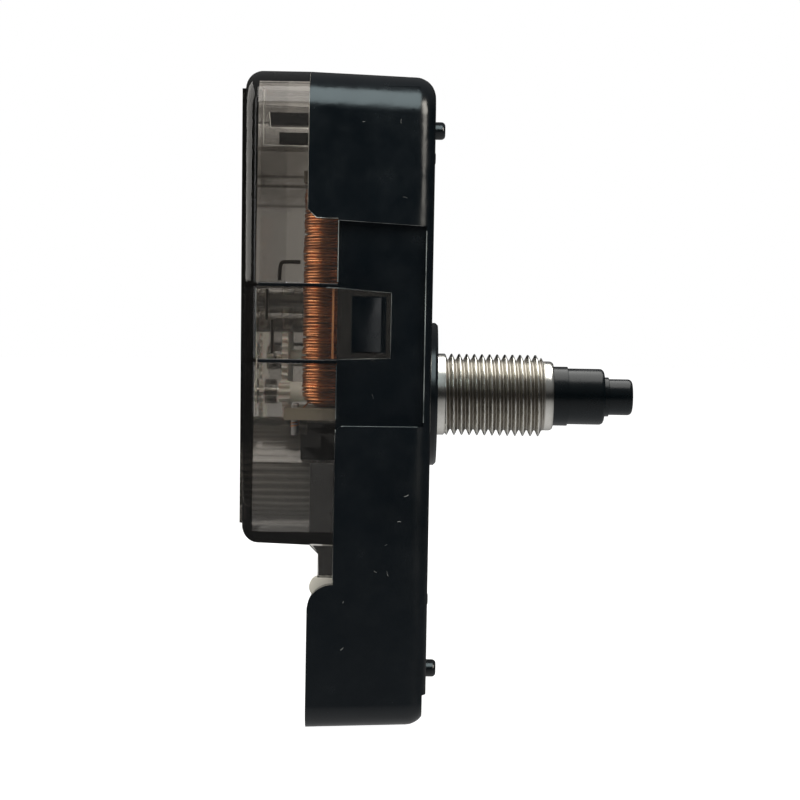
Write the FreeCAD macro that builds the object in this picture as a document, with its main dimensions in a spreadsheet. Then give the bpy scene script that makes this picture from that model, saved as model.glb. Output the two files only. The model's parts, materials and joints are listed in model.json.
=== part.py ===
import FreeCAD, Part
import math
import os
import re
import Sketcher
from FreeCAD import Placement, Rotation, Vector

# Quartz clock movement. Millimetres and degrees. +Z is up, the hand shaft points along -Y, and the
# origin is where the shaft's axis meets the front face. A "depth" is measured back from that face,
# along +Y, and a "reach" is measured out from it, along -Y.

SIZES = {
    # Front case, outside
    "case_width": 56.0,
    "case_top": 29.1,
    "case_bottom": 28.2,
    "rim_rise": 2.65,
    "case_draft": 1.9,
    "corner_radius": 3.4,
    "bottom_corner_radius": 2.1,
    "front_edge_radius": 1.8,
    "front_step": 0.33,
    "front_step_place": 25.1,
    "ledge_depth": 8.25,
    "block_rise": 2.25,
    "block_drop": 3.4,
    "shelf_height": 16.35,
    "shelf_bevel": 0.75,
    # Front case, inside
    "front_wall": 1.4,
    "side_wall": 1.1,
    "top_wall": 1.3,
    "bay_floor": 0.9,
    "bay_bottom_wall": 1.45,
    "bay_height": 14.65,
    "bay_end_wall": 1.4,
    "bay_shelf": 1.2,
    "tail_slot_width": 1.4,
    "tail_slot_depth": 6.4,
    # Recessed side panels and the catches on them
    "recess": 1.2,
    "recess_wall": 0.85,
    "recess_top": 16.2,
    "recess_top_front": 15.8,
    "recess_bottom": 1.6,
    "front_lip": 0.64,
    "recess_round": 0.7,
    "catch_low": 4.85,
    "catch_high": 9.55,
    "catch_setback": 0.85,
    "catch_length": 2.3,
    "catch_rise": 0.95,
    # Dial side
    "boss_radius": 7.0,
    "boss_height": 1.0,
    "boss_bevel": 0.25,
    "stud_radius": 0.775,
    "stud_height": 0.9,
    "stud_round": 0.35,
    "stud_inset": 5.5,
    "stud_inset_high": 4.8,
    "stud_inset_low": 4.8,
    # Posts and blocks inside the case
    "post_radius": 1.3,
    "stake_radius": 0.6,
    "post_inset_left": 13.0,
    "post_inset_right": 5.5,
    "post_inset_high": 3.9,
    "post_inset_low": 2.3,
    "post_inset_corner": 3.6,
    "coil_block_thick": 2.4,
    "coil_block_low": 4.6,
    "coil_block_high": 2.4,
    "coil_block_depth": 11.25,
    "coil_step_high": 1.35,
    "coil_step_depth": 10.7,
    "hook_inset": 0.2,
    "hook_width": 2.0,
    "hook_high_thick": 1.1,
    "hook_high_inset": 3.75,
    "hook_high_rise": 3.5,
    "hook_low_thick": 1.1,
    "hook_gap": 0.6,
    "hook_low_rise": 2.6,
    # Back cover
    "cover_room": 0.95,
    "cover_wall": 1.1,
    "cover_back": 1.3,
    "cover_gap": 0.1,
    "cover_bottom_rise": 0.26,
    "cover_edge_radius": 1.5,
    "panel_rise": 0.25,
    "back_slope": 0.3,
    "panel_inset": 1.9,
    "panel_inset_low": 1.7,
    "panel_inset_high": 1.65,
    "tongue_low": 4.15,
    "tongue_high": 10.35,
    "tongue_taper": 0.35,
    "tongue_length": 4.65,
    "tongue_bar": 0.4,
    "window_gap": 0.25,
    "window_margin": 0.1,
    "slot_width": 0.4,
    "leg_length": 2.75,
    "leg_thick": 1.3,
    "leg_width": 1.3,
    "leg_flare": 0.7,
    "rib_thick": 0.3,
    "rib_length": 1.8,
    "rib_inset_high": 6.9,
    "rib_gap": 3.2,
    "bearing_radius": 1.2,
    # Threaded bush and dial fixing
    "bush_radius": 4.0,
    "thread_root": 3.43,
    "thread_pitch": 0.75,
    "thread_crest": 0.12,
    "thread_foot": 0.1,
    "thread_turns": 12,
    "shank_reach": 1.75,
    "bush_neck_radius": 3.4,
    "neck_length": 0.9,
    "bush_bevel": 0.25,
    "bush_bore": 2.97,
    "bush_seat_radius": 4.3,
    "flange_radius": 5.2,
    "flange_seat": 0.3,
    "flange_thick": 0.8,
    # Hour wheel, minute tube and second arbor
    "hour_tube_radius": 2.91,
    "hour_seat_radius": 2.75,
    "hour_collar_length": 1.43,
    "hour_seat_length": 3.62,
    "hour_bore": 1.99,
    "minute_tube_radius": 1.93,
    "minute_seat_radius": 1.77,
    "minute_collar_length": 0.45,
    "minute_seat_length": 2.35,
    "minute_bore": 0.56,
    "tip_round": 0.45,
    "second_radius": 0.5,
    "second_setback": 0.3,
    # Depths of the wheels
    "wheel_gap": 0.2,
    "hour_wheel_thick": 0.8,
    "pinion_gap": 0.25,
    "idler_gap": 0.6,
    "wheel_thick": 0.6,
    "clutch_gap": 0.1,
    "clutch_thick": 0.35,
    "centre_thick": 0.55,
    "spring_rise": 0.3,
    "clutch_radius": 3.3,
    "pinion_overhang": 0.2,
    "plate_gap": 0.35,
    "plate_thick": 1.0,
    "rest_height": 0.5,
    "sheet_thick": 0.8,
    "fifth_lift": 2.6,
    "pinion_reach": 0.3,
    "second_span": 2.5,
    # Teeth and modules
    "hour_teeth": 40,
    "wheel_pinion_teeth": 10,
    "minute_wheel_teeth": 36,
    "minute_pinion_teeth": 12,
    "knob_teeth": 18,
    "centre_teeth": 64,
    "third_teeth": 60,
    "second_teeth": 40,
    "fifth_teeth": 48,
    "small_pinion_teeth": 8,
    "setting_module": 0.4,
    "second_module": 0.3,
    "third_module": 0.22,
    "fifth_module": 0.2,
    # Directions from one arbor to the next
    "minute_wheel_angle": 192.0,
    "knob_angle": 204.0,
    "third_angle": 24.5,
    "fifth_angle": 102.0,
    "rotor_angle": 154.0,
    # Arbors, hubs and running fits
    "pivot_radius": 0.35,
    "arbor_radius": 0.55,
    "hub_radius": 0.85,
    "pivot_length": 0.8,
    "spring_rim": 0.35,
    "running_gap": 0.05,
    "seat_gap": 0.02,
    "end_shake": 0.15,
    "idler_bore": 0.85,
    "pillar_tip_radius": 0.45,
    # Setting knob
    "knob_radius": 4.2,
    "knob_gap": 0.25,
    "knob_shaft_radius": 1.5,
    "knob_pivot_radius": 0.8,
    "knob_seat": 2.4,
    "knob_ridges": 40,
    "knob_ridge_height": 0.18,
    "knob_slot_width": 1.2,
    "knob_slot_depth": 0.9,
    "well_radius": 4.45,
    "well_wall": 0.6,
    "well_lift": 2.6,
    # Stepping motor
    "coil_inset": 5.4,
    "coil_depth": 8.2,
    "coil_low": 0.2,
    "coil_high": 19.4,
    "coil_radius": 3.1,
    "wire_radius": 0.17,
    "wire_turns": 23,
    "lead_bend": 0.6,
    "bobbin_flange": 1.05,
    "bobbin_half_width": 3.1,
    "bobbin_half_depth": 3.15,
    "terminal_block_depth": 12.8,
    "barrel_wall": 0.5,
    "core_width": 2.6,
    "core_end": 2.6,
    "terminal_radius": 0.3,
    "terminal_length": 2.7,
    "terminal_outer": 2.2,
    "terminal_inner": 0.4,
    "rotor_radius": 2.5,
    "rotor_height": 1.3,
    "stator_hole_radius": 3.0,
    "stator_ring": 1.2,
    "stator_gap": 0.4,
    "stator_width": 2.6,
    "magnet_bore": 0.9,
    # Circuit board
    "board_inset_left": 4.0,
    "board_inset_right": 2.8,
    "board_gap": 0.3,
    "board_high": 4.5,
    "chip_place": 6.5,
    "chip_radius": 2.5,
    "chip_height": 0.9,
    "can_place": 13.5,
    "can_radius": 1.0,
    "can_length": 6.2,
    "lead_radius": 0.15,
    "lead_length": 1.6,
    "board_pin_left": 11.0,
    "board_pin_inset": 5.6,
    # Battery contacts
    "contact_thick": 0.3,
    "contact_inset": 2.8,
    "contact_drop": 2.7,
    "contact_front": 2.0,
    "lobe_radius": 1.05,
    "lobe_depth": 9.3,
    "nub_radius": 2.2,
    "nub_height": 0.5,
    "tail_width": 1.2,
    "leaf_bulge": 1.7,
    "leaf_width": 5.0,
    # Shared
    "plate_margin": 0.4,
    "hole_gap": 0.06,
    "overrun": 3.0,
}

# Sizes that follow from the ones above, each worked out in the sheet
DERIVED = {
    "case_depth": "ledge_depth + rim_rise",
    "block_depth": "ledge_depth + block_rise",
    "chamber_bottom": "case_bottom - bay_bottom_wall - bay_height - bay_shelf",
    "cover_bottom": "chamber_bottom + bay_shelf - cover_gap",
    "block_top": "cover_bottom + block_drop",
    "block_radius": "block_rise - seat_gap",
    "bay_length": "case_width - 2 * bay_end_wall",
    "tongue_tip": "ledge_depth - tongue_length",
    "catch_front": "tongue_tip + catch_setback",
    "catch_back": "catch_front + catch_length",
    "stud_spread": "case_width - 2 * stud_inset",
    "stud_high": "case_top - stud_inset_high",
    "stud_low": "case_bottom - stud_inset_low",
    "post_left": "case_width / 2 - post_inset_left",
    "post_right": "case_width / 2 - post_inset_right",
    "post_high": "case_top - post_inset_high",
    "post_low": "chamber_bottom - post_inset_low",
    "post_corner": "case_width / 2 - post_inset_corner",
    "hook_high_top": "case_top - hook_high_inset",
    "hook_high_low": "hook_high_top - hook_high_thick",
    "hook_high_depth": "case_depth + hook_high_rise",
    "hook_low_top": "hook_high_low - hook_gap",
    "hook_low_low": "hook_low_top - hook_low_thick",
    "hook_low_depth": "case_depth + hook_low_rise",
    "hour_front": "front_wall + wheel_gap",
    "hour_back": "hour_front + hour_wheel_thick",
    "minute_wheel_front": "hour_back + idler_gap",
    "minute_wheel_back": "minute_wheel_front + wheel_thick",
    "minute_pinion_back": "minute_wheel_back + pinion_gap",
    "clutch_front": "minute_pinion_back + clutch_gap",
    "centre_front": "clutch_front + clutch_thick",
    "centre_back": "centre_front + centre_thick",
    "clutch_back": "centre_back + spring_rise",
    "plate_front": "clutch_back + plate_gap",
    "fifth_front": "plate_front + plate_thick + fifth_lift",
    "fifth_back": "fifth_front + wheel_thick",
    "fifth_pinion_front": "fifth_back + pinion_reach",
    "second_front": "fifth_pinion_front + pinion_reach",
    "second_back": "second_front + wheel_thick",
    "second_pinion_front": "second_back + second_span",
    "third_front": "second_pinion_front + pinion_reach",
    "third_back": "third_front + wheel_thick",
    "cover_depth": "third_back + cover_room + cover_back",
    "panel_low": "cover_bottom - panel_inset_low",
    "panel_high": "case_top - panel_inset_high",
    "window_back": "catch_back + window_gap",
    "leg_reach": "cover_bottom + leg_length",
    "leg_front": "ledge_depth + running_gap",
    "leg_back": "leg_front + leg_width",
    "leg_root": "leg_back + leg_flare",
    "rib_high": "case_top - rib_inset_high",
    "rib_low": "rib_high - rib_gap",
    "bush_reach": "shank_reach + thread_pitch * (thread_turns + 1) + neck_length",
    "hour_collar_reach": "bush_reach + hour_collar_length",
    "hour_reach": "hour_collar_reach + hour_seat_length",
    "minute_collar_reach": "hour_reach + minute_collar_length",
    "minute_reach": "minute_collar_reach + minute_seat_length",
    "second_reach": "minute_reach - second_setback",
    "minute_pinion_front": "hour_back + pinion_gap",
    "third_pinion_front": "centre_front - end_shake",
    "third_pinion_back": "centre_back + pinion_overhang",
    "rotor_pinion_front": "fifth_front - pinion_reach",
    "rotor_pinion_back": "fifth_back + pinion_reach",
    "fifth_pinion_back": "second_back + pinion_reach",
    "second_pinion_back": "third_back + pinion_overhang",
    "well_front": "plate_front + plate_thick + well_lift",
    "knob_front": "well_front + well_wall + knob_gap",
    "knob_back": "cover_depth + running_gap",
    "coil_place": "case_width / 2 - coil_inset",
    "board_left": "case_width / 2 - board_inset_left",
    "board_right": "case_width / 2 - board_inset_right",
    "board_low": "chamber_bottom - board_gap",
    "board_pin_right": "case_width / 2 - board_pin_inset",
    "contact_low": "case_bottom - contact_inset",
    "contact_high": "cover_bottom + contact_drop",
}

# Tooth form in shares of the circular pitch (widths) and of the module (heights)
PINION_SHARES = {"foot_share": 0.40, "flank_share": 0.31, "tip_share": 0.16, "rise_share": 0.75}
WHEEL_SHARES = {"foot_share": 0.44, "flank_share": 0.33, "tip_share": 0.12, "rise_share": 0.80}
ROOT_SHARE = 1.25
FLANK_HEIGHT_SHARE = 0.55

doc = FreeCAD.newDocument("QuartzMovement")
sheet = doc.addObject("Spreadsheet::Sheet", "Sizes")
for row, (alias, number) in enumerate(SIZES.items(), start=1):
    sheet.set(f"A{row}", alias)
    sheet.set(f"B{row}", str(number))
    sheet.setAlias(f"B{row}", alias)
for row, (alias, formula) in enumerate(DERIVED.items(), start=len(SIZES) + 1):
    sheet.set(f"A{row}", alias)
    sheet.set(f"B{row}", "=" + formula)
    sheet.setAlias(f"B{row}", alias)
doc.recompute()
NAMES = {*SIZES, *DERIVED}


class Read:
    """The sheet's numbers, one attribute each."""

    def __init__(self):
        for name in NAMES:
            setattr(self, name, float(sheet.get(name)))


size = Read()
subparts = []


def rule(text):
    """An expression in plain size names, with each name pointing into the sheet."""
    return re.sub(r"[a-z][a-z_]+", lambda m: "Sizes." + m.group(0) if m.group(0) in NAMES else m.group(0), text)


# Bodies, sketches and features


def new_body(label):
    body = doc.addObject("PartDesign::Body", label)
    body.Label = label
    subparts.append(body)
    return body


def new_sketch(body, name, plane, lift="0"):
    """A sketch on one of the body's own origin planes, moved along that plane's normal."""
    sketch = body.newObject("Sketcher::SketchObject", name)
    origin_plane = next(p for p in body.Origin.OriginFeatures if p.Role == plane)
    sketch.AttachmentSupport = [(origin_plane, "")]
    sketch.MapMode = "FlatFace"
    sketch.setExpression("AttachmentOffset.Base.z", rule(lift))
    return sketch


def front_sketch(body, name, depth):
    """A sketch seen from the front, X right and Z up, at a depth behind the front face."""
    return new_sketch(body, name, "XZ_Plane", f"-({depth})")


def side_sketch(body, name, place="0"):
    """A sketch seen from the side, Y right and Z up."""
    return new_sketch(body, name, "YZ_Plane", place)


def pin_point(sketch, element, position, across, up):
    for kind, text in (("DistanceX", across), ("DistanceY", up)):
        index = sketch.addConstraint(Sketcher.Constraint(kind, -1, 1, element, position, 1.0))
        sketch.setExpression(f"Constraints[{index}]", rule(text))


def add_outline(sketch, corners):
    """A closed outline of straight lines whose corners follow the sheet."""
    start = sketch.GeometryCount
    count = len(corners)
    ring = [
        Vector(math.cos(math.tau * step / count), math.sin(math.tau * step / count), 0)
        for step in range(count)
    ]
    for step in range(count):
        sketch.addGeometry(Part.LineSegment(ring[step], ring[(step + 1) % count]), False)
    for step in range(count):
        following = start + (step + 1) % count
        sketch.addConstraint(Sketcher.Constraint("Coincident", start + step, 2, following, 1))
    for step, (across, up) in enumerate(corners):
        pin_point(sketch, start + step, 1, across, up)


def add_rectangle(sketch, left, right, low, high):
    add_outline(sketch, [(left, low), (right, low), (right, high), (left, high)])


def add_circle(sketch, across, up, radius):
    index = sketch.addGeometry(Part.Circle(Vector(0, 0, 0), Vector(0, 0, 1), 1.0), False)
    pin_point(sketch, index, 3, across, up)
    bound = sketch.addConstraint(Sketcher.Constraint("Radius", index, 1.0))
    sketch.setExpression(f"Constraints[{bound}]", rule(radius))


def add_pad(body, name, sketch, length, backwards=False, symmetric=False, taper=None):
    """Pad towards the sketch's normal, or against it. Front sketches have their normal along -Y."""
    pad = body.newObject("PartDesign::Pad", name)
    pad.Profile = sketch
    pad.Reversed = backwards
    if symmetric:
        pad.SideType = "Symmetric"
    if taper:
        pad.setExpression("TaperAngle", rule(taper))
    pad.setExpression("Length", rule(length))
    body.Tip = pad
    return pad


def add_pocket(body, name, sketch, length, forwards=False, symmetric=False):
    """Pocket against the sketch's normal, or along it. It has to take material away."""
    doc.recompute()
    before = body.Shape.Volume
    pocket = body.newObject("PartDesign::Pocket", name)
    pocket.Profile = sketch
    pocket.Reversed = forwards
    if symmetric:
        pocket.SideType = "Symmetric"
    pocket.setExpression("Length", rule(length))
    body.Tip = pocket
    doc.recompute()
    if not body.Shape.Volume < before:
        raise RuntimeError(f"{body.Label}: {name} takes nothing away")
    return pocket


def edges_where(shape, test):
    """Names of the edges whose middle point passes a test."""
    names = []
    for number, edge in enumerate(shape.Edges, start=1):
        middle = edge.valueAt((edge.FirstParameter + edge.LastParameter) / 2)
        if test(edge, middle):
            names.append(f"Edge{number}")
    return names


def check_step(body, feature):
    doc.recompute()
    if not feature.Base[1] or not feature.isValid():
        raise RuntimeError(f"{body.Label}: {feature.Label} fails")


def add_fillet(body, name, radius, test):
    doc.recompute()
    base = body.Tip
    fillet = body.newObject("PartDesign::Fillet", name)
    fillet.Base = (base, edges_where(base.Shape, test))
    fillet.setExpression("Radius", rule(radius))
    body.Tip = fillet
    check_step(body, fillet)
    return fillet


def add_chamfer(body, name, width, test):
    doc.recompute()
    base = body.Tip
    chamfer = body.newObject("PartDesign::Chamfer", name)
    chamfer.Base = (base, edges_where(base.Shape, test))
    chamfer.setExpression("Size", rule(width))
    body.Tip = chamfer
    check_step(body, chamfer)
    return chamfer


def add_turning(body, name, corners):
    """A solid turned about the Y axis from an outline of radius against Y."""
    sketch = new_sketch(body, name + "Profile", "XY_Plane")
    add_outline(sketch, corners)
    turning = body.newObject("PartDesign::Revolution", name)
    turning.Profile = sketch
    turning.ReferenceAxis = (sketch, ["V_Axis"])
    turning.Angle = 360
    body.Tip = turning
    return turning


def new_shape(label, shape, x=0.0, z=0.0):
    """A sub-part whose shape comes from a formula, made about the Y axis and then put in place."""
    part = doc.addObject("Part::Feature", label)
    part.Label = label
    part.Shape = shape
    part.Placement = Placement(Vector(x, 0, z), Rotation())
    subparts.append(part)
    return part


# Places of the arbors, as X and Z


def step_from(place, distance, angle):
    turn = math.radians(angle)
    return (place[0] + distance * math.cos(turn), place[1] + distance * math.sin(turn))


def mesh_distance(module, first_teeth, second_teeth):
    return module * (first_teeth + second_teeth) / 2


CENTRE = (0.0, 0.0)
setting_distance = mesh_distance(size.setting_module, size.minute_pinion_teeth, size.minute_wheel_teeth)
hour_module = 2 * setting_distance / (size.wheel_pinion_teeth + size.hour_teeth)
third_distance = mesh_distance(size.third_module, size.small_pinion_teeth, size.third_teeth)
centre_module = 2 * third_distance / (size.small_pinion_teeth + size.centre_teeth)
knob_distance = mesh_distance(size.setting_module, size.knob_teeth, size.minute_wheel_teeth)
fifth_distance = mesh_distance(size.second_module, size.small_pinion_teeth, size.second_teeth)
rotor_distance = mesh_distance(size.fifth_module, size.small_pinion_teeth, size.fifth_teeth)

MINUTE_WHEEL = step_from(CENTRE, setting_distance, size.minute_wheel_angle)
KNOB = step_from(MINUTE_WHEEL, knob_distance, size.knob_angle)
THIRD = step_from(CENTRE, third_distance, size.third_angle)
FIFTH = step_from(CENTRE, fifth_distance, size.fifth_angle)
ROTOR = step_from(FIFTH, rotor_distance, size.rotor_angle)

# The same places as expressions, for sketches
SETTING_GAP = "(setting_module * (minute_pinion_teeth + minute_wheel_teeth) / 2)"
KNOB_GAP = "(setting_module * (knob_teeth + minute_wheel_teeth) / 2)"
THIRD_GAP = "(third_module * (small_pinion_teeth + third_teeth) / 2)"
FIFTH_GAP = "(second_module * (small_pinion_teeth + second_teeth) / 2)"
ROTOR_GAP = "(fifth_module * (small_pinion_teeth + fifth_teeth) / 2)"
MINUTE_WHEEL_AT = (f"{SETTING_GAP} * cos(minute_wheel_angle)", f"{SETTING_GAP} * sin(minute_wheel_angle)")
KNOB_AT = (
    f"{MINUTE_WHEEL_AT[0]} + {KNOB_GAP} * cos(knob_angle)",
    f"{MINUTE_WHEEL_AT[1]} + {KNOB_GAP} * sin(knob_angle)",
)
THIRD_AT = (f"{THIRD_GAP} * cos(third_angle)", f"{THIRD_GAP} * sin(third_angle)")
FIFTH_AT = (f"{FIFTH_GAP} * cos(fifth_angle)", f"{FIFTH_GAP} * sin(fifth_angle)")
ROTOR_AT = (
    f"{FIFTH_AT[0]} + {ROTOR_GAP} * cos(rotor_angle)",
    f"{FIFTH_AT[1]} + {ROTOR_GAP} * sin(rotor_angle)",
)
CENTRE_AT = ("0", "0")

# Heights and depths that several pieces share
PLATE_BACK = "(plate_front + plate_thick)"
REST_DEPTH = "(plate_front + plate_thick + rest_height)"
SHEET_BACK = "(plate_front + plate_thick + rest_height + sheet_thick)"
CORE_BACK = "(plate_front + plate_thick + rest_height + 2 * sheet_thick)"
BAY_LOW = "(bay_bottom_wall - case_bottom)"
BAY_HIGH = "(bay_bottom_wall - case_bottom + bay_height)"
CHAMBER_LOW = "(-chamber_bottom)"
CHAMBER_HALF = "(case_width / 2 - side_wall)"
RECESS_HALF = "(case_width / 2 - recess)"
NARROW_HALF = "(case_width / 2 - recess - recess_wall)"
POSTS = [
    ("-post_left", "post_high"),
    ("post_right", "post_high"),
    ("post_right", "-post_low"),
    ("-post_corner", "-post_low"),
]
CORE_LOW_PIN = ("-coil_place", "-(coil_low + bobbin_flange + core_end / 2)")
CORE_HIGH_PIN = ("-coil_place", "coil_high + bobbin_flange + core_end / 2")
BOARD_PINS = [
    ("-board_pin_left", "-(board_low + board_high) / 2"),
    ("board_pin_right", "-(board_low + board_high) / 2"),
]


def front_case():
    body = new_body("front_case")
    plan = front_sketch(body, "Plan", "case_depth")
    add_rectangle(plan, "-case_width / 2", "case_width / 2", "-case_bottom", "case_top")
    add_pad(body, "Block", plan, "case_depth", taper="-case_draft")
    add_fillet(body, "TopCorners", "corner_radius", lambda edge, middle: runs_back(edge, middle) and middle.z > 0)
    add_fillet(
        body, "BottomCorners", "bottom_corner_radius", lambda edge, middle: runs_back(edge, middle) and middle.z < 0
    )
    add_fillet(body, "FrontEdge", "front_edge_radius", lambda edge, middle: abs(middle.y) < size.seat_gap)

    step = front_sketch(body, "FrontStepPlan", "0")
    add_rectangle(
        step,
        "-(case_width / 2 + overrun)",
        "case_width / 2 + overrun",
        "-(case_bottom + overrun)",
        "-front_step_place",
    )
    add_pocket(body, "FrontStep", step, "front_step")

    chamber = front_sketch(body, "ChamberPlan", "front_wall")
    add_outline(
        chamber,
        [
            (f"-{CHAMBER_HALF}", CHAMBER_LOW),
            (CHAMBER_HALF, CHAMBER_LOW),
            (CHAMBER_HALF, "-(recess_bottom + recess_wall)"),
            (NARROW_HALF, "-(recess_bottom + recess_wall)"),
            (NARROW_HALF, "recess_top + recess_wall"),
            (CHAMBER_HALF, "recess_top + recess_wall"),
            (CHAMBER_HALF, "case_top - top_wall"),
            (f"-{CHAMBER_HALF}", "case_top - top_wall"),
            (f"-{CHAMBER_HALF}", "recess_top + recess_wall"),
            (f"-{NARROW_HALF}", "recess_top + recess_wall"),
            (f"-{NARROW_HALF}", "-(recess_bottom + recess_wall)"),
            (f"-{CHAMBER_HALF}", "-(recess_bottom + recess_wall)"),
        ],
    )
    add_pocket(body, "Chamber", chamber, "case_depth")

    bay = front_sketch(body, "BayPlan", "bay_floor")
    add_rectangle(bay, "-bay_length / 2", "bay_length / 2", BAY_LOW, BAY_HIGH)
    add_pocket(body, "BatteryBay", bay, "case_depth")

    back = side_sketch(body, "BackLine")
    beyond = "case_depth + overrun"
    add_outline(
        back,
        [
            ("block_depth", "-case_bottom - overrun"),
            ("block_depth", "-block_top"),
            ("ledge_depth", "-block_top"),
            ("ledge_depth", "shelf_height"),
            ("case_depth - shelf_bevel", "shelf_height"),
            ("case_depth", "shelf_height + shelf_bevel"),
            (beyond, "shelf_height + shelf_bevel"),
            (beyond, "-case_bottom - overrun"),
        ],
    )
    add_pocket(body, "BackCut", back, "case_width + overrun", symmetric=True)
    add_fillet(body, "BlockCorner", "block_radius", is_block_corner)

    for side, sign, forwards in (("Left", "-", False), ("Right", "", True)):
        panel = side_sketch(body, side + "PanelLine", f"{sign}{RECESS_HALF}")
        add_outline(
            panel,
            [
                ("front_lip", "-recess_bottom"),
                ("ledge_depth + overrun", "-recess_bottom"),
                ("ledge_depth + overrun", "shelf_height"),
                ("ledge_depth", "recess_top"),
                ("front_lip", "recess_top_front"),
            ],
        )
        add_pocket(body, side + "Panel", panel, "recess + overrun", forwards=forwards)
        add_fillet(body, side + "PanelCorners", "recess_round", is_panel_corner)
        wedge = new_sketch(body, side + "CatchPlan", "XY_Plane", "catch_low")
        add_outline(
            wedge,
            [
                (f"{sign}({RECESS_HALF} - recess_wall / 2)", "catch_front"),
                (f"{sign}({RECESS_HALF} + catch_rise)", "catch_front"),
                (f"{sign}({RECESS_HALF})", "catch_back"),
                (f"{sign}({RECESS_HALF} - recess_wall / 2)", "catch_back"),
            ],
        )
        add_pad(body, side + "Catch", wedge, "catch_high - catch_low")
        slot = front_sketch(body, side + "TailSlotPlan", "tail_slot_depth")
        add_rectangle(
            slot,
            f"{sign}(bay_length / 2 - tail_slot_width)",
            f"{sign}(bay_length / 2)",
            f"{BAY_HIGH} - bay_shelf / 2",
            f"{CHAMBER_LOW} + bay_shelf / 2",
        )
        add_pocket(body, side + "TailSlot", slot, "case_depth")

    boss = front_sketch(body, "BossPlan", "0")
    add_circle(boss, "0", "0", "boss_radius")
    add_pad(body, "Boss", boss, "boss_height")
    add_chamfer(body, "BossEdge", "boss_bevel", lambda edge, middle: abs(middle.y + size.boss_height) < size.seat_gap)
    studs = front_sketch(body, "StudPlan", "0")
    for across in ("-stud_spread / 2", "stud_spread / 2"):
        for up in ("stud_high", "-stud_low"):
            add_circle(studs, across, up, "stud_radius")
    add_pad(body, "Studs", studs, "stud_height")
    add_fillet(body, "StudTips", "stud_round", is_stud_tip)

    seat = front_sketch(body, "FlangeSeatPlan", "flange_seat")
    add_circle(seat, "0", "0", "flange_radius + seat_gap")
    add_pocket(body, "FlangeSeat", seat, "front_wall")
    hole = front_sketch(body, "BushHolePlan", "front_wall")
    add_circle(hole, "0", "0", "bush_seat_radius + seat_gap")
    add_pocket(body, "BushHole", hole, "front_wall + boss_height + overrun", forwards=True)

    posts = front_sketch(body, "PostPlan", "front_wall")
    for across, up in POSTS:
        add_circle(posts, across, up, "post_radius")
    add_circle(posts, *MINUTE_WHEEL_AT, "idler_bore - running_gap")
    add_pad(body, "Posts", posts, "plate_front - front_wall", backwards=True)
    stakes = front_sketch(body, "StakePlan", "plate_front")
    for across, up in POSTS:
        add_circle(stakes, across, up, "stake_radius")
    add_circle(stakes, *MINUTE_WHEEL_AT, "pillar_tip_radius")
    add_pad(body, "Stakes", stakes, "plate_thick", backwards=True)

    collar = front_sketch(body, "KnobSeatPlan", "front_wall")
    add_circle(collar, *KNOB_AT, "knob_shaft_radius")
    add_pad(body, "KnobSeat", collar, "knob_seat - front_wall", backwards=True)
    pivot = front_sketch(body, "KnobPivotPlan", "front_wall")
    add_circle(pivot, *KNOB_AT, "knob_pivot_radius + running_gap")
    add_pocket(body, "KnobPivot", pivot, "knob_seat")

    blocks = (
        ("CoilBlock", "coil_block_low", "coil_block_high", "coil_block_depth"),
        ("CoilStep", "coil_block_high", "coil_step_high", "coil_step_depth"),
    )
    for name, low, high, depth in blocks:
        plan = front_sketch(body, name + "Plan", "front_wall")
        inner = f"-({CHAMBER_HALF} - coil_block_thick)"
        add_rectangle(plan, f"-{CHAMBER_HALF}", inner, f"-{low}", f"-{high}")
        add_pad(body, name, plan, f"{depth} - front_wall", backwards=True)
    for name, low, high, depth in (
        ("UpperHook", "hook_high_low", "hook_high_top", "hook_high_depth"),
        ("LowerHook", "hook_low_low", "hook_low_top", "hook_low_depth"),
    ):
        plan = front_sketch(body, name + "Plan", "front_wall")
        outer = f"{CHAMBER_HALF} - hook_inset"
        add_rectangle(plan, f"-({outer})", f"-({outer} - hook_width)", low, high)
        add_pad(body, name, plan, f"{depth} - front_wall", backwards=True)
    return body


def runs_back(edge, middle):
    """The four drafted corner edges of the case, seen from the front as its corners."""
    return abs(abs(middle.x) - size.case_width / 2) < size.side_wall and edge.BoundBox.YLength > size.front_wall and (
        min(abs(middle.z - size.case_top), abs(middle.z + size.case_bottom)) < size.side_wall
    )


def is_block_corner(edge, middle):
    return (
        abs(middle.y - size.block_depth) < size.seat_gap
        and abs(middle.z + size.block_top) < size.seat_gap
        and edge.BoundBox.XLength > size.seat_gap
    )


def is_panel_corner(edge, middle):
    """The corners of a recessed panel that turn in the picture of the side: two in front, one at the ledge."""
    across = edge.BoundBox.XLength
    near = [
        (size.front_lip, -size.recess_bottom),
        (size.front_lip, size.recess_top_front),
        (size.ledge_depth, -size.recess_bottom),
    ]
    at_corner = any(math.hypot(middle.y - y, middle.z - z) < size.seat_gap for y, z in near)
    return at_corner and size.recess / 2 < across < 2 * size.recess


def is_stud_tip(edge, middle):
    on_tip = abs(middle.y + size.stud_height) < size.seat_gap
    return on_tip and abs(abs(middle.x) - size.stud_spread / 2) < 2 * size.stud_radius


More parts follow.
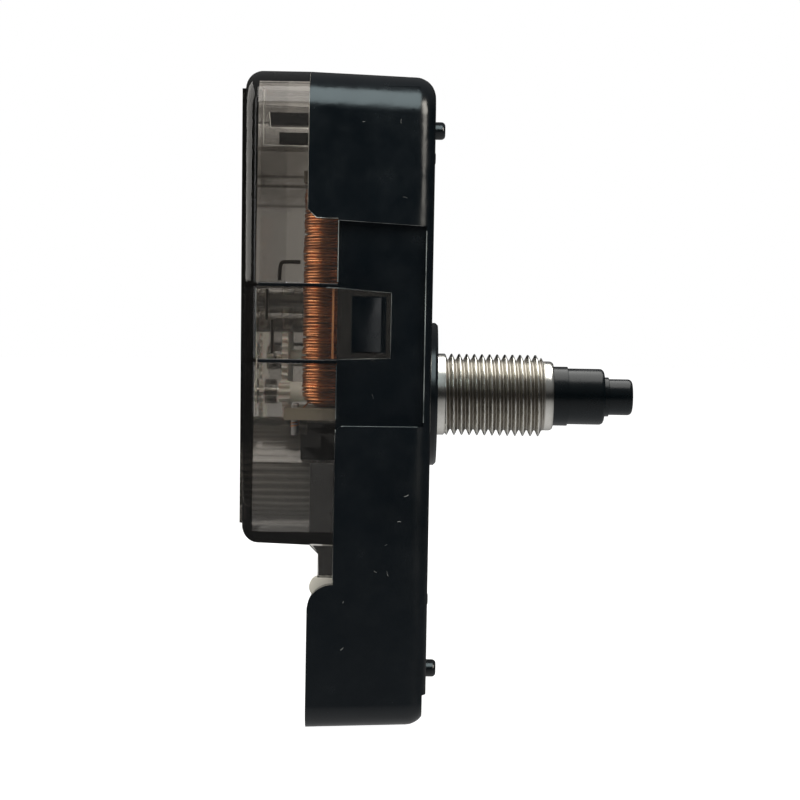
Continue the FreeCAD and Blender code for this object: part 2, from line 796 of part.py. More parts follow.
def back_cover():
    body = new_body("back_cover")
    plan = front_sketch(body, "Plan", "ledge_depth")
    add_rectangle(plan, "-case_width / 2", "case_width / 2", "-cover_bottom", "case_top")
    add_pad(body, "Block", plan, "cover_depth - ledge_depth", backwards=True)
    back = side_sketch(body, "BackSlopeLine")
    add_outline(back, beyond_back("cover_depth"))
    add_pocket(body, "BackSlope", back, "case_width + overrun", symmetric=True)
    slope = side_sketch(body, "BottomSlopeLine")
    add_outline(
        slope,
        [
            ("ledge_depth", "-cover_bottom"),
            ("cover_depth + overrun", "-cover_bottom - overrun"),
            ("cover_depth + overrun", "-cover_bottom + cover_bottom_rise"),
            ("cover_depth", "-cover_bottom + cover_bottom_rise"),
        ],
    )
    add_pocket(body, "BottomSlope", slope, "case_width + overrun", symmetric=True)
    add_fillet(body, "TopCorners", "corner_radius", is_cover_top_corner)
    add_fillet(body, "BackEdge", "cover_edge_radius", is_cover_back_edge)
    inside = front_sketch(body, "InsidePlan", "ledge_depth")
    add_rectangle(
        inside,
        "-(case_width / 2 - cover_wall)",
        "case_width / 2 - cover_wall",
        "-cover_bottom + cover_wall",
        "case_top - cover_wall",
    )
    add_pocket(body, "Inside", inside, "cover_depth - ledge_depth - cover_back")
    front = side_sketch(body, "FrontLine")
    add_outline(
        front,
        [
            ("ledge_depth - overrun", "shelf_height"),
            ("case_depth - shelf_bevel", "shelf_height"),
            ("case_depth", "shelf_height + shelf_bevel"),
            ("case_depth", "case_top + overrun"),
            ("ledge_depth - overrun", "case_top + overrun"),
        ],
    )
    add_pocket(body, "FrontCut", front, "case_width + overrun", symmetric=True)

    panel = front_sketch(body, "PanelPlan", "cover_depth - cover_back / 2")
    add_rectangle(
        panel,
        "-(case_width / 2 - panel_inset)",
        "case_width / 2 - panel_inset",
        "-panel_low",
        "panel_high",
    )
    add_pad(body, "Panel", panel, "cover_back / 2 + panel_rise", backwards=True)
    face = side_sketch(body, "PanelSlopeLine")
    add_outline(face, beyond_back("cover_depth + panel_rise"))
    add_pocket(body, "PanelSlope", face, "case_width + overrun", symmetric=True)

    for side, sign, forwards in (("Left", "-", True), ("Right", "", False)):
        tongue = side_sketch(body, side + "TongueLine", f"{sign}(case_width / 2)")
        add_outline(
            tongue,
            [
                ("ledge_depth + cover_wall", "tongue_low"),
                ("ledge_depth + cover_wall", "tongue_high"),
                ("ledge_depth", "tongue_high"),
                ("tongue_tip", "tongue_high - tongue_taper"),
                ("tongue_tip", "tongue_low + tongue_taper / 2"),
                ("ledge_depth", "tongue_low"),
            ],
        )
        thick = "recess - running_gap"
        add_pad(body, side + "Tongue", tongue, thick, backwards=not forwards)
        window = side_sketch(body, side + "WindowLine", f"{sign}(case_width / 2)")
        add_rectangle(
            window,
            "tongue_tip + tongue_bar",
            "window_back",
            "catch_low - window_margin",
            "catch_high + window_margin",
        )
        add_pocket(body, side + "Window", window, "recess + overrun", forwards=forwards)
        for name, low in (("UpperSlot", "tongue_high"), ("LowerSlot", "tongue_low - slot_width")):
            slot = side_sketch(body, side + name + "Line", f"{sign}(case_width / 2 + overrun)")
            add_rectangle(
                slot,
                "ledge_depth - overrun",
                "cover_depth + overrun",
                low,
                f"{low} + slot_width",
            )
            add_pocket(body, side + name, slot, "cover_wall + overrun", forwards=forwards)
        leg = side_sketch(body, side + "LegLine", f"{sign}(case_width / 2)")
        add_outline(
            leg,
            [
                ("leg_front", "-leg_reach"),
                ("leg_back", "-leg_reach"),
                ("leg_back", "-(cover_bottom + leg_root - leg_back)"),
                ("leg_root", "-cover_bottom"),
                ("leg_root", "-cover_bottom + cover_wall / 2"),
                ("leg_front", "-cover_bottom + cover_wall / 2"),
            ],
        )
        add_pad(body, side + "Leg", leg, "leg_thick", backwards=not forwards)
        for name, up in (("UpperRib", "rib_high"), ("LowerRib", "rib_low")):
            rib = front_sketch(body, side + name + "Plan", "case_depth + running_gap")
            wall = "case_width / 2 - cover_wall / 2"
            add_rectangle(
                rib,
                f"{sign}({wall})",
                f"{sign}({wall} - rib_length)",
                f"{up} - rib_thick / 2",
                f"{up} + rib_thick / 2",
            )
            reach = "cover_depth - cover_back / 2 - case_depth - running_gap"
            add_pad(body, side + name, rib, reach, backwards=True)

    well = front_sketch(body, "WellPlan", "well_front")
    add_circle(well, *KNOB_AT, "well_radius + well_wall")
    add_pad(body, "Well", well, "cover_depth - back_slope - well_front", backwards=True)
    room = front_sketch(body, "WellRoomPlan", "well_front + well_wall")
    add_circle(room, *KNOB_AT, "well_radius")
    add_pocket(body, "WellRoom", room, "cover_depth")
    hole = front_sketch(body, "ShaftHolePlan", "well_front")
    add_circle(hole, *KNOB_AT, "knob_shaft_radius + running_gap")
    add_pocket(body, "ShaftHole", hole, "well_wall + running_gap")

    bearings = (
        ("Rotor", ROTOR_AT, "rotor_pinion_back"),
        ("Fifth", FIFTH_AT, "fifth_pinion_back"),
        ("Third", THIRD_AT, "third_back"),
        ("Second", CENTRE_AT, "second_pinion_back"),
    )
    for name, place, depth in bearings:
        post = front_sketch(body, name + "BearingPlan", f"{depth} + end_shake")
        add_circle(post, *place, "bearing_radius")
        length = f"cover_depth - cover_back / 2 - {depth} - end_shake"
        add_pad(body, name + "Bearing", post, length, backwards=True)
        socket = front_sketch(body, name + "SocketPlan", f"{depth} + end_shake")
        add_circle(socket, *place, "pivot_radius + running_gap")
        add_pocket(body, name + "Socket", socket, "pivot_length + end_shake")
    return body


def is_cover_top_corner(edge, middle):
    on_side = abs(abs(middle.x) - size.case_width / 2) < size.seat_gap
    return on_side and abs(middle.z - size.case_top) < size.seat_gap and edge.BoundBox.YLength > size.cover_wall


def is_cover_back_edge(edge, middle):
    return middle.y > size.cover_depth - size.back_slope - size.seat_gap


def beyond_back(depth):
    """What lies behind the cover's sloping back, which is deepest at its top."""
    return [
        (depth, "case_top"),
        (f"{depth} + overrun", "case_top"),
        (f"{depth} + overrun", "-cover_bottom - overrun"),
        (f"{depth} - back_slope", "-cover_bottom - overrun"),
    ]


def threaded_bush():
    """The bush is turned: its thread stands as ridges at the true pitch and depth, without lead."""
    body = new_body("threaded_bush")
    back = "flange_seat + flange_thick"
    corners = [
        ("bush_bore", back),
        ("bush_bore", "-bush_reach"),
        ("bush_neck_radius - bush_bevel", "-bush_reach"),
        ("bush_neck_radius", "-bush_reach + bush_bevel"),
    ]
    for turn in range(int(size.thread_turns), -1, -1):
        middle = f"(shank_reach + thread_pitch * ({turn} + 0.5) + thread_foot)"
        for place, radius in (
            ("thread_pitch / 2 - thread_foot / 2", "thread_root"),
            ("thread_crest / 2", "bush_radius"),
            ("-thread_crest / 2", "bush_radius"),
            ("-thread_pitch / 2 + thread_foot / 2", "thread_root"),
        ):
            corners.append((radius, f"-({middle} + {place})"))
    corners += [
        ("thread_root", "-shank_reach"),
        ("bush_radius", "-shank_reach"),
        ("bush_radius", "-boss_height"),
        ("bush_seat_radius", "-boss_height"),
        ("bush_seat_radius", "flange_seat"),
        ("flange_radius", "flange_seat"),
        ("flange_radius", back),
    ]
    add_turning(body, "Bush", corners)
    return body


def middle_plate():
    body = new_body("middle_plate")
    plan = front_sketch(body, "Plan", "plate_front")
    notch = "-(coil_place - bobbin_half_width - plate_margin)"
    add_outline(
        plan,
        [
            (f"-({NARROW_HALF} - plate_margin)", f"{CHAMBER_LOW} + plate_margin"),
            (f"{NARROW_HALF} - plate_margin", f"{CHAMBER_LOW} + plate_margin"),
            (f"{NARROW_HALF} - plate_margin", "case_top - top_wall - plate_margin"),
            (f"-({CHAMBER_HALF} - hook_inset - hook_width - plate_margin)", "case_top - top_wall - plate_margin"),
            (
                f"-({CHAMBER_HALF} - hook_inset - hook_width - plate_margin)",
                "coil_high + bobbin_flange + plate_margin",
            ),
            (notch, "coil_high + bobbin_flange + plate_margin"),
            (notch, "-(coil_low + bobbin_flange + plate_margin)"),
            (
                f"-({CHAMBER_HALF} - coil_block_thick - plate_margin)",
                "-(coil_low + bobbin_flange + plate_margin)",
            ),
            (f"-({CHAMBER_HALF} - coil_block_thick - plate_margin)", "-(coil_block_low + plate_margin)"),
            (f"-({NARROW_HALF} - plate_margin)", "-(coil_block_low + plate_margin)"),
        ],
    )
    add_pad(body, "Plate", plan, "plate_thick", backwards=True)
    rests = front_sketch(body, "RestPlan", PLATE_BACK)
    stakes = front_sketch(body, "StakePlan", REST_DEPTH)
    for place in (CORE_LOW_PIN, CORE_HIGH_PIN, *BOARD_PINS):
        add_circle(rests, *place, "post_radius")
    for place in (CORE_LOW_PIN, CORE_HIGH_PIN):
        add_circle(stakes, *place, "stake_radius")
    add_pad(body, "Rests", rests, "rest_height", backwards=True)
    add_pad(body, "CoreStakes", stakes, f"{CORE_BACK} + rest_height - {REST_DEPTH}", backwards=True)
    pins = front_sketch(body, "BoardStakePlan", REST_DEPTH)
    for place in BOARD_PINS:
        add_circle(pins, *place, "stake_radius")
    add_pad(body, "BoardStakes", pins, "sheet_thick + rest_height", backwards=True)
    holes = front_sketch(body, "HolePlan", "plate_front")
    for place in POSTS:
        add_circle(holes, *place, "stake_radius + hole_gap")
    add_circle(holes, *MINUTE_WHEEL_AT, "pillar_tip_radius + hole_gap")
    add_circle(holes, *KNOB_AT, "knob_shaft_radius + running_gap")
    add_circle(holes, *THIRD_AT, "arbor_radius + running_gap")
    add_circle(holes, *ROTOR_AT, "pivot_radius + running_gap")
    add_circle(holes, *FIFTH_AT, "pivot_radius + running_gap")
    add_circle(holes, *CENTRE_AT, "second_radius + running_gap")
    add_pocket(body, "Holes", holes, "plate_thick")
    return body


def stator(label, half):
    """One half of the stator: a strip from the coil's core to a half ring round the rotor."""
    body = new_body(label)
    left = "-(coil_place + core_width / 2)"
    ring = "(stator_hole_radius + stator_ring)"
    x, z = ROTOR_AT
    plan = front_sketch(body, "StripPlan", REST_DEPTH)
    if half == "lower":
        edge = "-(coil_low + bobbin_flange + plate_margin / 2)"
        corners = [
            (left, edge),
            (left, f"{edge} - stator_width"),
            ("-(coil_place - bobbin_half_width - stator_width)", f"{edge} - stator_width"),
            (f"{x} + {ring}", f"{z} - {ring} / 2"),
            (f"{x} + {ring}", f"{z} - stator_gap / 2"),
            (f"{x} - {ring}", f"{z} - stator_gap / 2"),
            (f"{x} - {ring}", f"{z} - {ring} / 2"),
            ("-(coil_place - bobbin_half_width - plate_margin)", edge),
        ]
    else:
        edge = "(coil_high + bobbin_flange + plate_margin / 2)"
        corners = [
            (left, edge),
            ("-(coil_place - bobbin_half_width - plate_margin)", edge),
            (f"{x} - {ring}", f"{z} + {ring} / 2"),
            (f"{x} - {ring}", f"{z} + stator_gap / 2"),
            (f"{x} + {ring}", f"{z} + stator_gap / 2"),
            (f"{x} + {ring}", f"{z} + {ring} / 2"),
            ("-(coil_place - bobbin_half_width - stator_width)", f"{edge} + stator_width"),
            (left, f"{edge} + stator_width"),
        ]
    add_outline(plan, corners)
    add_pad(body, "Strip", plan, "sheet_thick", backwards=True)
    hole = front_sketch(body, "RotorHolePlan", REST_DEPTH)
    add_circle(hole, x, z, "stator_hole_radius")
    add_pocket(body, "RotorHole", hole, "sheet_thick")
    pin = front_sketch(body, "StakeHolePlan", REST_DEPTH)
    add_circle(pin, *(CORE_LOW_PIN if half == "lower" else CORE_HIGH_PIN), "stake_radius + hole_gap")
    add_pocket(body, "StakeHole", pin, "sheet_thick")
    return body


def coil_core():
    body = new_body("coil_core")
    plan = front_sketch(body, "Plan", SHEET_BACK)
    add_rectangle(
        plan,
        "-(coil_place + core_width / 2)",
        "-(coil_place - core_width / 2)",
        "-(coil_low + bobbin_flange + core_end)",
        "coil_high + bobbin_flange + core_end",
    )
    add_pad(body, "Strip", plan, "sheet_thick", backwards=True)
    holes = front_sketch(body, "StakeHolePlan", SHEET_BACK)
    for place in (CORE_LOW_PIN, CORE_HIGH_PIN):
        add_circle(holes, *place, "stake_radius + hole_gap")
    add_pocket(body, "StakeHoles", holes, "sheet_thick")
    return body


def coil_bobbin():
    body = new_body("coil_bobbin")
    barrel = new_sketch(body, "BarrelPlan", "XY_Plane", "-coil_low - bobbin_flange")
    middle = "(plate_front + plate_thick + rest_height + 1.5 * sheet_thick)"
    outer = "(core_width / 2 + barrel_wall)"
    rise = "(sheet_thick / 2 + barrel_wall)"
    add_rectangle(
        barrel,
        f"-(coil_place + {outer})",
        f"-(coil_place - {outer})",
        f"{middle} - {rise}",
        f"{middle} + {rise}",
    )
    add_pad(body, "Barrel", barrel, "coil_low + coil_high + 2 * bobbin_flange")
    for name, low, back in (
        ("LowerFlange", "-(coil_low + bobbin_flange)", "terminal_block_depth"),
        ("UpperFlange", "coil_high", "coil_depth + bobbin_half_depth"),
    ):
        flange = new_sketch(body, name + "Plan", "XY_Plane", low)
        add_rectangle(
            flange,
            "-(coil_place + bobbin_half_width)",
            "-(coil_place - bobbin_half_width)",
            "coil_depth - bobbin_half_depth",
            back,
        )
        add_pad(body, name, flange, "bobbin_flange")
    room = new_sketch(body, "CoreRoomPlan", "XY_Plane", "coil_high + bobbin_flange")
    add_rectangle(
        room,
        "-(coil_place + core_width / 2 + seat_gap)",
        "-(coil_place - core_width / 2 - seat_gap)",
        f"{middle} - sheet_thick / 2 - seat_gap",
        f"{middle} + sheet_thick / 2 + seat_gap",
    )
    add_pocket(body, "CoreRoom", room, "coil_low + coil_high + 2 * bobbin_flange")
    pins = new_sketch(body, "TerminalHolePlan", "XY_Plane", "-coil_low")
    for place in TERMINALS:
        add_circle(pins, place, "terminal_block_depth - 3 * terminal_radius", "terminal_radius")
    add_pocket(body, "TerminalHoles", pins, "bobbin_flange")
    return body


TERMINALS = ("-(coil_place + terminal_outer)", "-(coil_place + terminal_inner)")


def coil_terminals():
    """Two pins through the bobbin's terminal block, which the winding's ends are soldered to."""
    body = new_body("coil_terminals")
    plan = new_sketch(body, "Plan", "XY_Plane", "-coil_low + terminal_radius")
    for place in TERMINALS:
        add_circle(plan, place, "terminal_block_depth - 3 * terminal_radius", "terminal_radius")
    pad = add_pad(body, "Pins", plan, "terminal_length", backwards=True)
    pad.AllowMultiFace = True
    return body


def coil_winding_core():
    body = new_body("coil_winding_core")
    plan = new_sketch(body, "Plan", "XY_Plane", "-coil_low + seat_gap")
    middle = "(plate_front + plate_thick + rest_height + 1.5 * sheet_thick)"
    add_circle(plan, "-coil_place", "coil_depth", "coil_radius - 2 * wire_radius - seat_gap")
    outer = "(core_width / 2 + barrel_wall + seat_gap)"
    rise = "(sheet_thick / 2 + barrel_wall + seat_gap)"
    add_rectangle(
        plan,
        f"-(coil_place + {outer})",
        f"-(coil_place - {outer})",
        f"{middle} - {rise}",
        f"{middle} + {rise}",
    )
    add_pad(body, "Core", plan, "coil_low + coil_high - 2 * seat_gap")
    return body


def arc_between(first, corner, last):
    """The arc from first to last that is tangent to both lines to the corner between them."""
    half = (last - first) / 2
    foot = first + half
    lean = math.acos(half.Length / (corner - first).Length)
    rise = half.Length * math.tan(lean / 2)
    return Part.Arc(first, foot + (corner - foot).normalize() * rise, last).toShape()


def biarc(first, first_way, last, last_way):
    """Two arcs that leave the first point and reach the last one in the ways given."""
    across = last - first
    ways = first_way + last_way
    spread = 2 * (1 - first_way.dot(last_way))
    along = across.dot(ways)
    reach = (-along + math.sqrt(along * along + spread * across.dot(across))) / spread
    first_corner = first + first_way * reach
    last_corner = last - last_way * reach
    joint = (first_corner + last_corner) / 2
    return [arc_between(first, first_corner, joint), arc_between(joint, last_corner, last)]


def coil_winding():
    """The outer layer of the winding, one wire from the lower flange to the upper one."""
    radius = size.coil_radius - size.wire_radius
    wire = 2 * size.wire_radius
    turns = int(size.wire_turns)
    # A lead takes a straight of one wire, then a bend, so the turns share what is left of the length
    length = size.coil_low + size.coil_high
    turned = length - 2 * (wire + size.lead_bend)
    for _ in range(3):
        pitch = turned / turns
        way = math.atan2(pitch, math.tau * radius)
        bend_reach = size.lead_bend * math.tan((math.pi / 2 - way) / 2)
        turned = length - 2 * (wire + bend_reach * (1 + math.sin(way)))
    pitch = turned / turns
    start = -size.coil_low + (length - turned) / 2

    def point(angle):
        return Vector(radius * math.cos(angle), radius * math.sin(angle), start + pitch * angle / math.tau)

    def direction(angle):
        way = Vector(-radius * math.sin(angle), radius * math.cos(angle), pitch / math.tau)
        return way.normalize()

    up = Vector(0, 0, 1)
    quarter = math.tau / 4
    arcs = []
    for step in range(4 * turns):
        here, there = step * quarter, (step + 1) * quarter
        arcs += biarc(point(here), direction(here), point(there), direction(there))
    first, last = point(0), point(turns * math.tau)
    first_corner = first - direction(0) * bend_reach
    last_corner = last + direction(turns * math.tau) * bend_reach
    lead_start = first_corner - up * bend_reach
    lead_end = last_corner + up * bend_reach
    edges = [Part.LineSegment(lead_start - up * wire, lead_start).toShape()]
    edges.append(arc_between(lead_start, first_corner, first))
    edges += arcs
    edges.append(arc_between(last, last_corner, lead_end))
    edges.append(Part.LineSegment(lead_end, lead_end + up * wire).toShape())
    path = Part.Wire(edges)
    section = Part.Wire(Part.Circle(lead_start - up * wire, up, size.wire_radius).toShape())
    pipe = Part.BRepOffsetAPI.MakePipeShell(path)
    pipe.add(section)
    pipe.build()
    pipe.makeSolid()
    tube = pipe.shape()

    # The least gap between the wire and itself, on points more than a quarter turn apart
    samples = path.discretize(24 * turns)
    spacing = path.Length / (24 * turns - 1)
    apart = int(math.tau * radius / 4 / spacing)
    least = min(
        samples[i].distanceToPoint(samples[j]) - wire
        for i in range(len(samples))
        for j in range(i + apart, min(i + 8 * apart, len(samples)))
    )
    print(f"coil winding: {turns} turns at {pitch:.3f} mm, least gap to itself {least:.3f} mm")
    ideal = math.pi * size.wire_radius ** 2 * path.Length
    print(f"coil winding: volume {tube.Volume:.2f}, section times length {ideal:.2f}")
    part = doc.addObject("Part::Feature", "coil_winding")
    part.Label = "coil_winding"
    part.Shape = tube
    part.Placement = Placement(Vector(-size.coil_place, size.coil_depth, 0), Rotation())
    subparts.append(part)
    return part


# Gears


def gear_outline(teeth, module, shares, tooth_angle):
    """A gear's outline in the XZ plane, with a tooth centred at the angle, in radians."""
    teeth = int(teeth)
    pitch_radius = teeth * module / 2
    spread = math.tau / teeth
    rise = shares["rise_share"] * module
    side = [
        (pitch_radius - ROOT_SHARE * module, shares["foot_share"]),
        (pitch_radius, shares["foot_share"]),
        (pitch_radius + FLANK_HEIGHT_SHARE * rise, shares["flank_share"]),
        (pitch_radius + rise, shares["tip_share"]),
    ]
    points = []
    for tooth in range(teeth):
        middle = tooth_angle + tooth * spread
        for radius, share in side:
            angle = middle - share * spread / 2
            points.append(Vector(radius * math.cos(angle), 0, radius * math.sin(angle)))
        for radius, share in reversed(side):
            angle = middle + share * spread / 2
            points.append(Vector(radius * math.cos(angle), 0, radius * math.sin(angle)))
    return Part.Face(Part.makePolygon(points + points[:1]))


def gear(teeth, module, shares, tooth_angle, front, back):
    outline = gear_outline(teeth, module, shares, tooth_angle)
    outline.translate(Vector(0, front, 0))
    return outline.extrude(Vector(0, back - front, 0))


def barrel(radius, front, back, x=0.0, z=0.0):
    return Part.makeCylinder(radius, back - front, Vector(x, front, z), Vector(0, 1, 0))


def mating_angle(driver_teeth, driver_angle, driver_place, teeth, place):
    """The tooth angle that puts a gear in mesh with its driver, whose own tooth angle is given."""
    line = math.atan2(place[1] - driver_place[1], place[0] - driver_place[0])
    driver_phase = (line - driver_angle) / (math.tau / driver_teeth)
    return line + math.pi - (0.5 - driver_phase) * math.tau / teeth


def lightened(wheel, hole_radius, ring_radius, holes, front, back):
    """Take round holes out of a wheel's web."""
    for number in range(holes):
        angle = math.tau * number / holes
        x, z = ring_radius * math.cos(angle), ring_radius * math.sin(angle)
        wheel = wheel.cut(barrel(hole_radius, front, back, x, z))
    return wheel


def joined(first, *others):
    whole = first.fuse(list(others)).removeSplitter()
    return whole.Solids[0] if len(whole.Solids) == 1 else whole


ROTOR_TOOTH = 0.0
FIFTH_TOOTH = mating_angle(size.small_pinion_teeth, ROTOR_TOOTH, ROTOR, size.fifth_teeth, FIFTH)
SECOND_TOOTH = mating_angle(size.small_pinion_teeth, 0.0, FIFTH, size.second_teeth, CENTRE)
THIRD_TOOTH = mating_angle(size.small_pinion_teeth, 0.0, CENTRE, size.third_teeth, THIRD)
CENTRE_TOOTH = mating_angle(size.small_pinion_teeth, 0.0, THIRD, size.centre_teeth, CENTRE)
MINUTE_WHEEL_TOOTH = mating_angle(size.minute_pinion_teeth, 0.0, CENTRE, size.minute_wheel_teeth, MINUTE_WHEEL)
HOUR_TOOTH = mating_angle(size.wheel_pinion_teeth, 0.0, MINUTE_WHEEL, size.hour_teeth, CENTRE)
KNOB_TOOTH = mating_angle(size.minute_wheel_teeth, MINUTE_WHEEL_TOOTH, MINUTE_WHEEL, size.knob_teeth, KNOB)


def rounded_tip(tube, radius, reach):
    """Round the outer rim at a tube's front end."""
    rims = [
        edge
        for edge in tube.Edges
        if abs(edge.BoundBox.Center.y + reach) < size.seat_gap and edge.BoundBox.XLength > radius
    ]
    return tube.makeFillet(size.tip_round, rims)


def hour_wheel():
    wheel = gear(size.hour_teeth, hour_module, WHEEL_SHARES, HOUR_TOOTH, size.hour_front, size.hour_back)
    wheel = lightened(wheel, hour_module * 3, hour_module * size.hour_teeth / 3, 6, size.hour_front, size.hour_back)
    tube = barrel(size.hour_tube_radius, -size.hour_collar_reach, size.hour_front)
    seat = barrel(size.hour_seat_radius, -size.hour_reach, -size.hour_collar_reach)
    seat = rounded_tip(seat, size.hour_seat_radius, size.hour_reach)
    whole = joined(wheel, tube, seat)
    new_shape("hour_wheel", whole.cut(barrel(size.hour_bore, -size.hour_reach, size.hour_back)))


def minute_tube():
    pinion = gear(
        size.minute_pinion_teeth,
        size.setting_module,
        PINION_SHARES,
        0.0,
        size.minute_pinion_front,
        size.minute_pinion_back,
    )
    tube = barrel(size.minute_tube_radius, -size.minute_collar_reach, size.clutch_back)
    seat = barrel(size.minute_seat_radius, -size.minute_reach, -size.minute_collar_reach)
    seat = rounded_tip(seat, size.minute_seat_radius, size.minute_reach)
    flange = barrel(size.clutch_radius, size.clutch_front, size.centre_front - size.seat_gap)
    whole = joined(tube, seat, pinion, flange)
    new_shape("minute_tube", whole.cut(barrel(size.minute_bore, -size.minute_reach, size.clutch_back)))


def centre_wheel():
    wheel = gear(
        size.centre_teeth, centre_module, WHEEL_SHARES, CENTRE_TOOTH, size.centre_front, size.centre_back
    )
    bore = barrel(size.minute_tube_radius + size.running_gap, size.centre_front, size.centre_back)
    new_shape("centre_wheel", wheel.cut(bore))


def clutch_spring():
    """A three-armed washer that presses the centre wheel against the minute tube's flange."""
    front = size.centre_back + size.seat_gap
    hub = barrel(size.minute_tube_radius + size.spring_rim, front, size.clutch_back)
    arms = []
    for number in range(3):
        arm = Part.makeBox(
            size.clutch_radius,
            size.clutch_back - front,
            size.minute_tube_radius / 2,
            Vector(0, front, -size.minute_tube_radius / 4),
        )
        arm.rotate(Vector(0, 0, 0), Vector(0, 1, 0), 120 * number)
        arms.append(arm)
    whole = joined(hub, *arms)
    new_shape("clutch_spring", whole.cut(barrel(size.minute_tube_radius + size.seat_gap, front, size.clutch_back)))


def minute_wheel():
    wheel = gear(
        size.minute_wheel_teeth,
        size.setting_module,
        WHEEL_SHARES,
        MINUTE_WHEEL_TOOTH,
        size.minute_wheel_front,
        size.minute_wheel_back,
    )
    ring = size.setting_module * size.minute_wheel_teeth / 3
    wheel = lightened(wheel, size.post_radius, ring, 5, size.minute_wheel_front, size.minute_wheel_back)
    front = size.front_wall + size.end_shake
    pinion = gear(size.wheel_pinion_teeth, hour_module, PINION_SHARES, 0.0, front, size.minute_wheel_front)
    hub = barrel(size.idler_bore + size.barrel_wall, size.minute_wheel_back, size.plate_front - size.end_shake)
    whole = joined(wheel, pinion, hub)
    new_shape("minute_wheel", whole.cut(barrel(size.idler_bore, front, size.plate_front)), *MINUTE_WHEEL)


def setting_knob():
    """The knob on the back turns the minute wheel through its own small gear."""
    gear_front, gear_back = size.minute_wheel_front, size.minute_wheel_back
    teeth = gear(size.knob_teeth, size.setting_module, WHEEL_SHARES, KNOB_TOOTH, gear_front, gear_back)
    pivot = barrel(size.knob_pivot_radius, size.front_wall + size.end_shake, gear_front)
    shaft = barrel(size.knob_shaft_radius, size.knob_seat + size.end_shake, size.knob_front)
    ridges = int(size.knob_ridges)
    rim = []
    for number in range(ridges):
        for share, radius in ((-0.3, -1), (-0.15, 0), (0.15, 0), (0.3, -1)):
            angle = math.tau * (number + share) / ridges
            reach = size.knob_radius + radius * size.knob_ridge_height
            rim.append(Vector(reach * math.cos(angle), size.knob_front, reach * math.sin(angle)))
    head = Part.Face(Part.makePolygon(rim + rim[:1])).extrude(Vector(0, size.knob_back - size.knob_front, 0))
    slot = Part.makeBox(
        2 * (size.knob_radius - size.knob_slot_width),
        size.knob_slot_depth,
        size.knob_slot_width,
        Vector(
            size.knob_slot_width - size.knob_radius,
            size.knob_back - size.knob_slot_depth,
            -size.knob_slot_width / 2,
        ),
    )
    new_shape("setting_knob", joined(teeth, pivot, shaft, head).cut(slot), *KNOB)


def arbor_wheel(label, place, wheel, pinion, ends, bearing_front):
    """A moulded wheel and pinion on one arbor that ends in a pivot at the back, and maybe the front."""
    front, back = ends
    pivots = barrel(size.pivot_radius, bearing_front, back + size.pivot_length)
    arbor = barrel(size.arbor_radius, front, back)
    hub = barrel(size.hub_radius, min(wheel[4], pinion[5]), max(wheel[5], pinion[4]))
    new_shape(label, joined(gear(*wheel), gear(*pinion), arbor, hub, pivots), *place)


def fifth_wheel():
    wheel = (size.fifth_teeth, size.fifth_module, WHEEL_SHARES, FIFTH_TOOTH, size.fifth_front, size.fifth_back)
    pinion = (
        size.small_pinion_teeth,
        size.second_module,
        PINION_SHARES,
        0.0,
        size.fifth_pinion_front,
        size.fifth_pinion_back,
    )
    front = size.plate_front + size.plate_thick + size.end_shake
    arbor_wheel(
        "fifth_wheel", FIFTH, wheel, pinion, (front, size.fifth_pinion_back), size.plate_front + size.running_gap
    )


def third_wheel():
    wheel = (size.third_teeth, size.third_module, WHEEL_SHARES, THIRD_TOOTH, size.third_front, size.third_back)
    pinion = (
        size.small_pinion_teeth,
        centre_module,
        PINION_SHARES,
        0.0,
        size.third_pinion_front,
        size.third_pinion_back,
    )
    front = size.third_pinion_front
    pivots = barrel(size.pivot_radius, front, size.third_back + size.pivot_length)
    arbor = barrel(size.arbor_radius, front, size.third_back)
    boss_front = size.plate_front + size.plate_thick + size.end_shake
    hub = barrel(size.hub_radius, boss_front, size.third_back)
    new_shape("third_wheel", joined(gear(*wheel), gear(*pinion), arbor, hub, pivots), *THIRD)


def second_wheel():
    wheel = gear(
        size.second_teeth, size.second_module, WHEEL_SHARES, SECOND_TOOTH, size.second_front, size.second_back
    )
    wheel = lightened(wheel, size.hub_radius, size.second_module * size.second_teeth / 3, 4, size.second_front, size.second_back)
    pinion = gear(
        size.small_pinion_teeth,
        size.third_module,
        PINION_SHARES,
        0.0,
        size.second_pinion_front,
        size.second_pinion_back,
    )
    front = size.plate_front + size.plate_thick + size.end_shake
    hub = barrel(size.second_radius + size.barrel_wall, front, size.second_pinion_front)
    whole = joined(wheel, pinion, hub)
    step = size.second_back + size.end_shake
    wide = barrel(size.second_radius + size.seat_gap, front, step)
    narrow = barrel(size.pivot_radius + size.seat_gap, step, size.second_pinion_back)
    new_shape("second_wheel", whole.cut(wide).cut(narrow))


def second_arbor():
    body = new_body("second_arbor")
    step = "(second_back + end_shake)"
    back = "(second_pinion_back + pivot_length)"
    add_turning(
        body,
        "Arbor",
        [
            ("0", "-second_reach"),
            ("second_radius - end_shake", "-second_reach"),
            ("second_radius", "-second_reach + end_shake"),
            ("second_radius", step),
            ("pivot_radius", step),
            ("pivot_radius", back),
            ("0", back),
        ],
    )
    return body


def rotor():
    middle = size.plate_front + size.plate_thick + size.rest_height + size.sheet_thick / 2
    front, back = middle - size.rotor_height / 2, middle + size.rotor_height / 2
    magnet = barrel(size.rotor_radius, front, back).cut(barrel(size.magnet_bore + size.seat_gap, front, back))
    new_shape("rotor_magnet", magnet, *ROTOR)
    pinion = gear(
        size.small_pinion_teeth,
        size.fifth_module,
        PINION_SHARES,
        ROTOR_TOOTH,
        size.rotor_pinion_front,
        size.rotor_pinion_back,
    )
    hub = barrel(size.magnet_bore, front, back)
    arbor = barrel(size.arbor_radius, front, size.rotor_pinion_back)
    pivots = barrel(
        size.pivot_radius, size.plate_front + size.running_gap, size.rotor_pinion_back + size.pivot_length
    )
    new_shape("rotor_pinion", joined(pinion, hub, arbor, pivots), *ROTOR)


